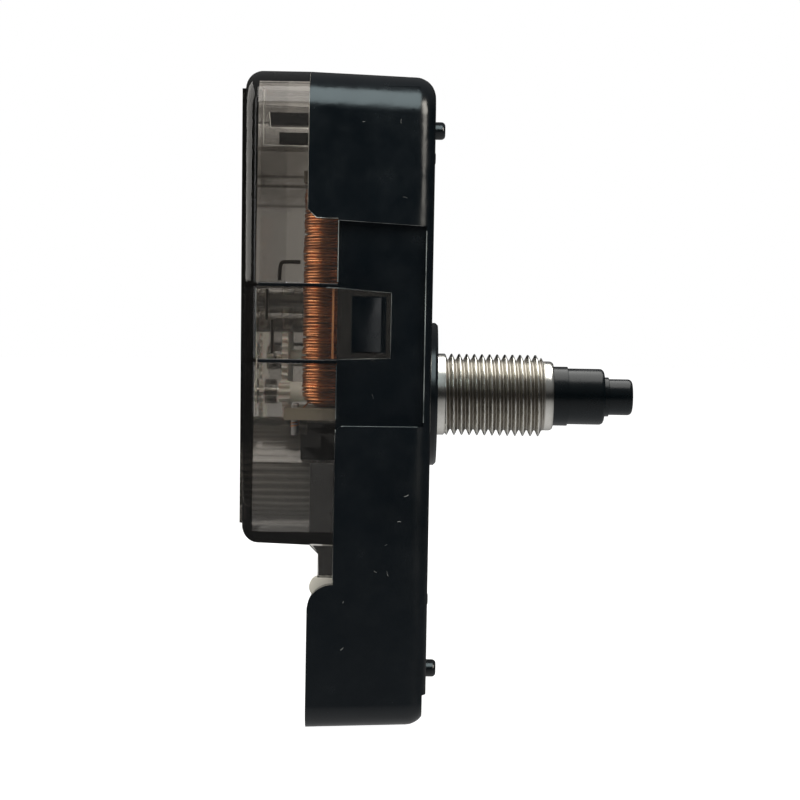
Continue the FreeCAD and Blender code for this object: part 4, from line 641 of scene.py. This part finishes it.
def winding_wire():
    """The outer layer: one wire whose turns shift, lean and swell a little, alone and in groups."""
    luck = random.Random(WINDING_SEED)
    turns = range(LAYER_TURNS + 2)
    shift = [luck.uniform(-TURN_SHIFT, TURN_SHIFT) for turn in turns]
    swell = [luck.choice(TURN_SWELLS) for turn in turns]
    lean = [luck.uniform(-TURN_LEAN, TURN_LEAN) for turn in turns]
    count = LAYER_TURNS // GROUP_TURNS + SPARE_GROUPS
    groups = [luck.uniform(0.0, GROUP_SWELL) for group in range(count)]
    twist = [luck.uniform(0.0, math.tau) for group in groups]
    first_height = COIL_LOW + WIRE + WIRE_END_ROOM
    climb = COIL_HIGH - COIL_LOW - 2 * WIRE - 2 * WIRE_END_ROOM
    total = LAYER_TURNS * TURN_POINTS
    points = []
    for step in range(total + 1):
        turn, part = divmod(step / TURN_POINTS, 1.0)
        turn = int(turn)
        angle = math.tau * step / TURN_POINTS
        move = shift[turn] * (1 - part) + shift[turn + 1] * part
        move += (lean[turn] * (1 - part) + lean[turn + 1] * part) * math.sin(angle)
        more = swell[turn] * (1 - part) + swell[turn + 1] * part
        group, inside = divmod(step / TURN_POINTS / GROUP_TURNS, 1.0)
        group = int(group)
        first = groups[group] * (0.5 + 0.5 * math.sin(angle + twist[group]))
        second = groups[group + 1] * (0.5 + 0.5 * math.sin(angle + twist[group + 1]))
        more += first * (1 - inside) + second * inside
        height = first_height + climb * step / total + move
        points.append(coil_point(WIRE_PATH_RADIUS + more - coil_taper(height), angle, height))
    wire = tube_lines("winding_wire", [points], WIRE, "copper_wire")
    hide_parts("coil_winding")


# The coil's leads

LEAD_PLACE = (-26.6, 8.62)
LEAD_HIGH = 10.4
LEAD_LOW = 4.1
LEAD_RADIUS = 0.10
FINE_WIRE = 0.055
FINE_START = ((10.6, 0.35), (11.5, -0.6))
FINE_END = ((12.2, -1.0),)
TERMINAL_Y = 11.9
TERMINAL_X_AND_START = ((-24.8, -24.6), (-23.0, -22.2))
WRAP_RADIUS = 0.37
WRAP_TOP = -1.3
WRAP_DROP = 0.045
WRAP_STEPS = 14
WRAP_STEPS_AROUND = 6


def coil_leads():
    """The winding's two fine ends, wrapped round the bobbin's terminals, and a lead held by the ribs."""
    lead = [(*LEAD_PLACE, LEAD_HIGH), (*LEAD_PLACE, LEAD_LOW)]
    tube_lines("coil_lead", [lead], LEAD_RADIUS, "copper_wire", BARE_COPPER)
    lines = []
    for across, start in TERMINAL_X_AND_START:
        points = at_x(start, FINE_START) + at_x(across, FINE_END)
        for step in range(WRAP_STEPS):
            angle = math.tau * step / WRAP_STEPS_AROUND
            x = across + WRAP_RADIUS * math.sin(angle)
            y = TERMINAL_Y + WRAP_RADIUS * math.cos(angle)
            points.append((x, y, WRAP_TOP - WRAP_DROP * step))
        lines.append(points)
    tube_lines("coil_leads", lines, FINE_WIRE, "copper_wire", round_corners=True)


# Small parts of the case, on both sides. Each function makes the part of one side.

SIDES = ((-1, "left"), (1, "right"))
SIDE = 28.0
HIGH = 29.1
DRAFT = math.tan(math.radians(1.9))
CASE_DEPTH = 10.9
CORNER = 3.4
FRONT_EDGE = 1.8
LEDGE = 8.25
SHELF_TOP = 16.35
SHELF_BEVEL = 0.75
SLOTS = ((10.35, 10.75), (3.75, 4.15))
BEAD = 0.045
BEAD_INSET = 0.05

# Black strips in the slots stand in for their shade.
SLOT_SHADE_BACK = 15.1
SLOT_SHADE_FRONT_GAP = 0.01
SLOT_SHADE_GAP = 0.03
SLOT_SHADE_INNER = 26.05
SLOT_SHADE_OUTER = 27.80
SLOT_SHADE_BEVEL = 0.05

BACKING_FRONT = 8.33
BACKING_BEVEL = 0.04
LEG_LOW = -14.7
LEG_HIGH = -12.1
LEG_BACK = ((9.55, LEG_LOW), (9.55, -12.75), (10.1, LEG_HIGH))
LEG_INNER = 26.40
LEG_OUTER = 26.62
GUIDE_BACK = 10.4
GUIDE_LOW = -10.9
GUIDE_HIGH = -4.9
GUIDE_OUTER = 26.84


def side_x(sign, depth, inward=BEAD_INSET):
    """X on the case's drafted side face at a depth, or a little inside it."""
    return sign * (SIDE - (CASE_DEPTH - depth) * DRAFT - inward)


def slot_shade_strips(sign, side):
    """Black strips in the two slots beside the spring tongue: a dark sheet that stands in for the shade in
    the slots.
    """
    mesh = bmesh.new()
    for low, high in SLOTS:
        outline = upright_plate(LEDGE + SLOT_SHADE_FRONT_GAP, SLOT_SHADE_BACK, low + SLOT_SHADE_GAP, high - SLOT_SHADE_GAP)
        plate_outline(mesh, outline, sign * SLOT_SHADE_INNER, sign * SLOT_SHADE_OUTER, SLOT_SHADE_BEVEL)
    bmesh.ops.recalc_face_normals(mesh, faces=mesh.faces)
    finish_mesh("slot_shade_strips_" + side, mesh, "case_black", smooth=False)


def latch_backing(sign, side):
    """Black backing of the latch leg, and the battery contact's guide plate behind the cover's wall."""
    leg = [(BACKING_FRONT, LEG_LOW), *LEG_BACK, (BACKING_FRONT, LEG_HIGH)]
    guide = upright_plate(BACKING_FRONT, GUIDE_BACK, GUIDE_LOW, GUIDE_HIGH)
    mesh = bmesh.new()
    plate_outline(mesh, leg, sign * LEG_INNER, sign * LEG_OUTER, BACKING_BEVEL)
    plate_outline(mesh, guide, sign * LEG_OUTER, sign * GUIDE_OUTER, BACKING_BEVEL)
    bmesh.ops.recalc_face_normals(mesh, faces=mesh.faces)
    finish_mesh("latch_backing_" + side, mesh, "case_black", smooth=False)


# Fine edges drawn as thin lines with painted highlights. The heights are those of the edges in the
# photograph.

TONGUE_TIP = 3.60
TONGUE_RUN = 1.0
TONGUE_HIGH = 10.33
TONGUE_LOW = 4.17
TIP_HIGH = 9.98
TIP_LOW = 4.35
LEDGE_RUNS = ((16.2, 10.85), (3.65, -1.0), (-1.9, -15.0))
PANEL_FRONT = 0.64
PANEL_INSET = 0.42
PANEL_TOP = 16.2
PANEL_TOP_FRONT = 15.83
PANEL_TOP_GAP = 0.3
PANEL_FRONT_RUN = (15.4, -1.2)
PANEL_LOW = -1.62
PANEL_LOW_GAP = 0.5
PARTING_BEAD = 0.04
PARTING_INSET_UP = 0.06
PARTING_STEPS = 12


def corner_point(sign, depth, angle, inset_across, inset_up):
    """A point near the rounded top corner, a little inside it."""
    x = sign * (SIDE - CORNER + (CORNER - inset_across) * math.cos(angle))
    return (x, depth, HIGH - CORNER + (CORNER - inset_up) * math.sin(angle))


def seam_edges(sign, side):
    """The fine rounded edges of tongue, side panel and ledge, as thin lines with painted highlights."""
    near = sign * (SIDE - BEAD_INSET)
    ledge = side_x(sign, LEDGE)
    lip = side_x(sign, PANEL_FRONT, PANEL_INSET)
    tongue = [
        (near, LEDGE + TONGUE_RUN, TONGUE_HIGH),
        (near, LEDGE, TONGUE_HIGH),
        (near, TONGUE_TIP, TIP_HIGH),
        (near, TONGUE_TIP, TIP_LOW),
        (near, LEDGE, TONGUE_LOW),
        (near, LEDGE + TONGUE_RUN, TONGUE_LOW),
    ]
    ledges = [[(ledge, LEDGE, height) for height in run] for run in LEDGE_RUNS]
    panel = [
        [(ledge, LEDGE, PANEL_TOP), (lip, PANEL_FRONT + PANEL_TOP_GAP, PANEL_TOP_FRONT)],
        [(lip, PANEL_FRONT, height) for height in PANEL_FRONT_RUN],
        [(ledge, LEDGE - PANEL_LOW_GAP, PANEL_LOW), (lip, PANEL_FRONT + PANEL_LOW_GAP, PANEL_LOW)],
    ]
    tube_lines("seam_edges_" + side, [tongue, *ledges, *panel], BEAD, "case_black", SEAM_GLINT_AND_DUST)


def parting_edge(sign, side):
    """A painted highlight along the edge between case and cover, over the rounded corner and down to the
    ledge.
    """
    seam = side_x(sign, CASE_DEPTH)
    line = []
    for step in range(PARTING_STEPS + 1):
        angle = math.radians(90.0 * (1.0 - step / PARTING_STEPS))
        line.append(corner_point(sign, CASE_DEPTH, angle, BEAD_INSET, PARTING_INSET_UP))
    line.append((seam, CASE_DEPTH, SHELF_TOP + SHELF_BEVEL))
    line.append((seam, CASE_DEPTH - SHELF_BEVEL, SHELF_TOP))
    line.append((side_x(sign, LEDGE), LEDGE, SHELF_TOP))
    tube_lines("parting_edge_" + side, [line], PARTING_BEAD, "case_black", CLEAR_EDGE_GLINT)


# What is moulded in the cover's left wall, as depths and heights

INNER_WALL = -26.80
UPPER_EDGE = ((14.34, 25.30), (14.20, 23.98), (11.0, 23.95))
LOWER_EDGE = ((14.81, 22.49), (11.0, 22.45))
LOWER_EDGE_ARC = 28.0
LOWER_EDGE_STEPS = 4
STEP_EDGE = ((15.27, 10.2), (15.27, 4.3))
LOOP = ((13.3, 10.9), (13.3, 12.35), (12.9, 12.55), (11.5, 12.5))
LOOP_RADIUS = 0.17
BARS = (((14.35, 10.2), (14.35, 7.5)), ((13.85, 7.5), (13.85, 4.6)))
BAR_RADIUS = 0.14


def cover_details():
    """Edges on the outside of the cover's left wall as lines with painted highlights, and a loop and bars
    on its inside.
    """
    face = -(SIDE - BEAD_INSET)
    rounded = []
    for step in range(LOWER_EDGE_STEPS + 1):
        angle = math.radians(LOWER_EDGE_ARC * (1.0 - step / LOWER_EDGE_STEPS))
        rounded.append(corner_point(-1, LOWER_EDGE[0][0], angle, BEAD_INSET, BEAD_INSET))
    edges = [rounded + at_x(face, LOWER_EDGE), at_x(face, UPPER_EDGE)]
    loop = [at_x(INNER_WALL, LOOP)]
    bars = [at_x(INNER_WALL, bar) for bar in BARS]
    tube_lines("cover_step", [at_x(face, STEP_EDGE)], BEAD, "cover_smoke", SEAM_GLINT_AND_DUST)
    tube_lines("cover_edges", edges, BEAD, "cover_smoke", CLEAR_EDGE_GLINT)
    tube_lines("cover_loop", loop, LOOP_RADIUS, "case_black", MARK, round_corners=True)
    tube_lines("cover_bars", bars, BAR_RADIUS, "case_black", MARK)


# Dust

DUST_TRIES = 13
DUST_DEPTHS = (1.6, 7.6)
DUST_HEIGHTS = ((-25.0, -3.0), (-1.0, 15.0), (17.0, 25.0))
DUST_LENGTHS = (0.10, 0.22)
DUST_BOW = 0.35
DUST_RADIUS = 0.022
RECESS_HEIGHTS = (-1.6, 16.2)
RECESS = 1.2
TONGUE_ROOM = (3.7, 10.8)
DUST_SEED = 21


def dust():
    """A few short curved fibres and scuffs on the glossy side faces, but none under the tongues."""
    luck = random.Random(DUST_SEED)
    lines = []
    for sign, side in SIDES:
        for attempt in range(DUST_TRIES):
            depth = luck.uniform(*DUST_DEPTHS)
            height = luck.choice([luck.uniform(*stretch) for stretch in DUST_HEIGHTS])
            if TONGUE_ROOM[0] < height < TONGUE_ROOM[1]:
                continue
            x = side_x(sign, depth, 0.0)
            if RECESS_HEIGHTS[0] < height < RECESS_HEIGHTS[1]:
                x = sign * (SIDE - RECESS)
            turn = luck.uniform(0.0, math.tau)
            length = luck.uniform(*DUST_LENGTHS)
            points = []
            for step in (-1.0, 0.0, 1.0):
                bow = DUST_BOW * length * (1.0 - step * step)
                y = depth + length * step * math.cos(turn) - bow * math.sin(turn)
                z = height + length * step * math.sin(turn) + bow * math.cos(turn)
                points.append((x, y, z))
            lines.append(points)
    tube_lines("dust_fibres", lines, DUST_RADIUS, "case_black", SEAM_GLINT_AND_DUST, round_corners=True)


# The case's rounded top corners

BACKING_SINK = 0.02
BACKING_DEPTH = 0.95
BACKING_ROW_STEP = 0.2
BACKING_ROWS = 26
BACKING_ANGLE = 3.0
BACKING_ANGLE_STEP = 3.5
BACKING_COLUMNS = 25
CASE_WELD = 0.001
CASE_SPLIT = 32


def corner_backing(sign, side):
    """The inside of the case's rounded top corner, a hair below its surface.

    It closes a crack between the triangles of the case, through which the dark inside would show.
    """
    mesh = bmesh.new()
    rows = []
    for step in range(BACKING_ROWS):
        depth = BACKING_DEPTH + BACKING_ROW_STEP * step
        inset = FRONT_EDGE - math.sqrt(FRONT_EDGE**2 - max(FRONT_EDGE - depth, 0.0) ** 2)
        radius = CORNER - BACKING_SINK - inset
        draft = (CASE_DEPTH - depth) * DRAFT
        row = []
        for column in range(BACKING_COLUMNS):
            angle = math.radians(BACKING_ANGLE + BACKING_ANGLE_STEP * column)
            x = SIDE - CORNER - draft + radius * math.cos(angle)
            z = HIGH - CORNER - draft + radius * math.sin(angle)
            row.append(mesh.verts.new((sign * x * MM, depth * MM, z * MM)))
        rows.append(row)
    for lower, upper in zip(rows, rows[1:]):
        for column in range(BACKING_COLUMNS - 1):
            after = column + 1
            mesh.faces.new((lower[column], lower[after], upper[after], upper[column]))
    finish_mesh("corner_backing_" + side, mesh, "case_black")


def even_normals():
    """Shading by face area, so that the case's long thin triangles don't show.

    For that its triangles are joined first, and parted again where an edge is sharp.
    """
    piece = frame["nodes"]["front_case"]
    joined = piece.modifiers.new("Joined", "WELD")
    joined.merge_threshold = CASE_WELD * MM
    parted = piece.modifiers.new("Parted", "EDGE_SPLIT")
    parted.split_angle = math.radians(CASE_SPLIT)
    weighted = piece.modifiers.new("Normals", "WEIGHTED_NORMAL")
    weighted.keep_sharp = False
    weighted.weight = 100


def on_both_sides(*makers):
    for sign, side in SIDES:
        for make in makers:
            make(sign, side)


threaded_bush()
winding_under()
winding_wire()
on_both_sides(slot_shade_strips)
on_both_sides(latch_backing)
on_both_sides(seam_edges, parting_edge)
cover_details()
dust()
coil_leads()
on_both_sides(corner_backing)
even_normals()


# Floor, light and camera, in metres

FLOOR_GAP = 0.05 * MM
FLOOR_RADIUS = 0.9


def floor():
    """A white floor that no glossy surface shows."""
    mesh = bmesh.new()
    bmesh.ops.create_circle(mesh, cap_ends=True, radius=FLOOR_RADIUS, segments=96)
    data = bpy.data.meshes.new("floor")
    mesh.to_mesh(data)
    mesh.free()
    paint = Paint("Floor")
    paint.set(
        Base_Color=shade(0.35, 0.35, 0.35),
        Roughness=1.0,
        Specular_IOR_Level=0.0,
        Emission_Color=shade(1.0, 1.0, 1.0),
        Emission_Strength=1.0,
    )
    data.materials.append(paint.material)
    piece = bpy.data.objects.new("floor", data)
    piece.location = (0.0, 0.0, cad_low.z - FLOOR_GAP)
    scene.collection.objects.link(piece)
    piece.visible_glossy = False


def linked_group(name, pieces, state):
    """Pieces that a lamp includes or excludes, as the light it gives or as the shadows it casts."""
    group = bpy.data.collections.new(name)
    for number, piece in enumerate(pieces):
        group.objects.link(bpy.data.objects[piece])
        group.collection_objects[number].light_linking.link_state = state
    return group


WINDING = ["winding_wire", "winding_under", "coil_leads"]
SHAFT = ["bush_threaded", "hour_wheel", "minute_tube", "second_arbor"]
SHELL = ["front_case", "seam_edges_left", "parting_edge_left", "cover_edges", "corner_backing_left"]
TRAIN = ["third_wheel", "second_wheel", "fifth_wheel", "rotor_magnet", "stator_upper", "stator_lower"]
TRAIN += ["middle_plate", "circuit_board", "chip_cap", "crystal_can", "crystal_leads", "coil_bobbin"]
TRAIN += ["setting_knob"]
ONLY_WINDING = linked_group("only_winding", WINDING, "INCLUDE")
ONLY_SHAFT = linked_group("only_shaft", SHAFT, "INCLUDE")
ONLY_SHELL = linked_group("only_shell", SHELL, "INCLUDE")
ONLY_TRAIN = linked_group("only_train", TRAIN, "INCLUDE")
HOUSING = linked_group("housing", WINDING + SHAFT, "EXCLUDE")
INSIDE = linked_group("inside", WINDING + SHAFT + SHELL, "EXCLUDE")
THROUGH_COVER = linked_group("through_cover", ["back_cover"], "EXCLUDE")


def softbox(name, place, target, width, height, radiance, colour, lit):
    """A rectangular light of the same radiance whatever its size, which shines through the cover."""
    lamp = bpy.data.lights.new(name, "AREA")
    lamp.shape = "RECTANGLE"
    lamp.size = width
    lamp.size_y = height
    lamp.energy = radiance * math.pi * width * height
    lamp.color = colour
    light = bpy.data.objects.new(name, lamp)
    light.location = place
    light.rotation_euler = (Vector(place) - Vector(target)).to_track_quat("Z", "Y").to_euler()
    light.visible_camera = False
    light.light_linking.blocker_collection = THROUGH_COVER
    light.light_linking.receiver_collection = lit
    scene.collection.objects.link(light)


ROOM_BELOW = shade(0.55, 0.55, 0.55)
ROOM_ABOVE = shade(0.25, 0.26, 0.27)
ROOM_LEVELS = ((0.36, 0.26), (0.455, 0.02), (0.57, 0.015), (0.70, 0.10))
STRAIGHT = 0.96


def surroundings():
    """White behind the object, also straight through the clear cover, and a dim room for reflections.

    The room's level follows the height of the direction, from straight down to straight up.
    """
    world = bpy.data.worlds.new("Studio")
    world.use_nodes = True
    nodes = Nodes(world.node_tree)
    direction = nodes.node("ShaderNodeTexCoord").outputs["Generated"]
    split = nodes.node("ShaderNodeSeparateXYZ", Vector=direction)
    rise = nodes.range(split.outputs["Z"], -1.0, 1.0)
    heights = nodes.node("ShaderNodeValToRGB", Fac=rise)
    stops = heights.color_ramp.elements
    stops[0].position, stops[0].color = 0.0, ROOM_BELOW
    stops[1].position, stops[1].color = 1.0, ROOM_ABOVE
    for position, level in ROOM_LEVELS:
        made = stops.new(position)
        made.color = shade(level, level, level)
    room = world.node_tree.nodes["Background"]
    nodes.feed(room, {"Color": heights.outputs["Color"], "Strength": 1.0})
    white = nodes.node("ShaderNodeBackground", Color=shade(1.0, 1.0, 1.0))
    path = nodes.node("ShaderNodeLightPath")
    straight = nodes.maths("GREATER_THAN", nodes.maths("ABSOLUTE", split.outputs["X"]), STRAIGHT)
    through = nodes.maths("MULTIPLY", straight, path.outputs["Is Transmission Ray"])
    either = nodes.maths("MAXIMUM", path.outputs["Is Camera Ray"], through)
    choice = nodes.node("ShaderNodeMixShader", Fac=either)
    nodes.plug(choice.inputs[1], room.outputs[0])
    nodes.plug(choice.inputs[2], white.outputs[0])
    nodes.plug(world.node_tree.nodes["World Output"].inputs["Surface"], choice.outputs[0])
    scene.world = world


CAMERA_PLACE = (-0.2263, 0.0035, 0.01085)
CAMERA_LENS = 103.5
CAMERA_DOWN = 2.91
CAMERA_ROLL = -1.01
CAMERA_TURN = -0.18


def camera():
    """The camera of the photograph: it looks along +X, a little down, and is slightly turned and rolled."""
    data = bpy.data.cameras.new("camera")
    data.lens = CAMERA_LENS
    data.sensor_width = 36.0
    data.clip_start = 0.01
    data.clip_end = 10.0
    view = bpy.data.objects.new("camera", data)
    view.location = CAMERA_PLACE
    degrees = (90.0 - CAMERA_DOWN, CAMERA_ROLL, -90.0 + CAMERA_TURN)
    view.rotation_euler = [math.radians(angle) for angle in degrees]
    scene.collection.objects.link(view)
    scene.camera = view


KEY = ((-0.34, 0.00, 0.37), (0.0, 0.0, 0.0), 0.50, 0.42)

floor()
softbox("key", *KEY, 4.4, (0.80, 0.97, 1.0), ONLY_SHELL)
softbox("key_inside", *KEY, 3.9, (1.0, 0.96, 0.91), INSIDE)
softbox("top", (0.09, -0.02, 0.48), (0.0, 0.0, 0.0), 0.62, 0.60, 3.0, (1.0, 1.0, 0.97), ONLY_SHAFT)
softbox("front", (-0.27, -0.36, 0.19), (0.0, 0.0, 0.0), 0.20, 0.28, 10.0, (1.0, 0.95, 0.86), HOUSING)
softbox("back", (0.02, 0.46, 0.20), (0.0, 0.0, 0.0), 0.55, 0.42, 2.2, (1.0, 0.97, 0.92), HOUSING)
softbox("edge", (-0.34, 0.30, 0.10), (0.0, 0.0, 0.01), 0.07, 0.36, 1.3, (1.0, 1.0, 1.0), HOUSING)
softbox("coil", (0.03, 0.40, 0.06), (0.0, 0.0, 0.01), 0.36, 0.34, 3.4, (1.0, 0.95, 0.88), ONLY_WINDING)
softbox("train", (0.02, 0.50, 0.16), (0.0, 0.0, 0.0), 0.40, 0.40, 2.4, (1.0, 0.98, 0.94), ONLY_TRAIN)
surroundings()
camera()
scene.view_settings.view_transform = "Standard"
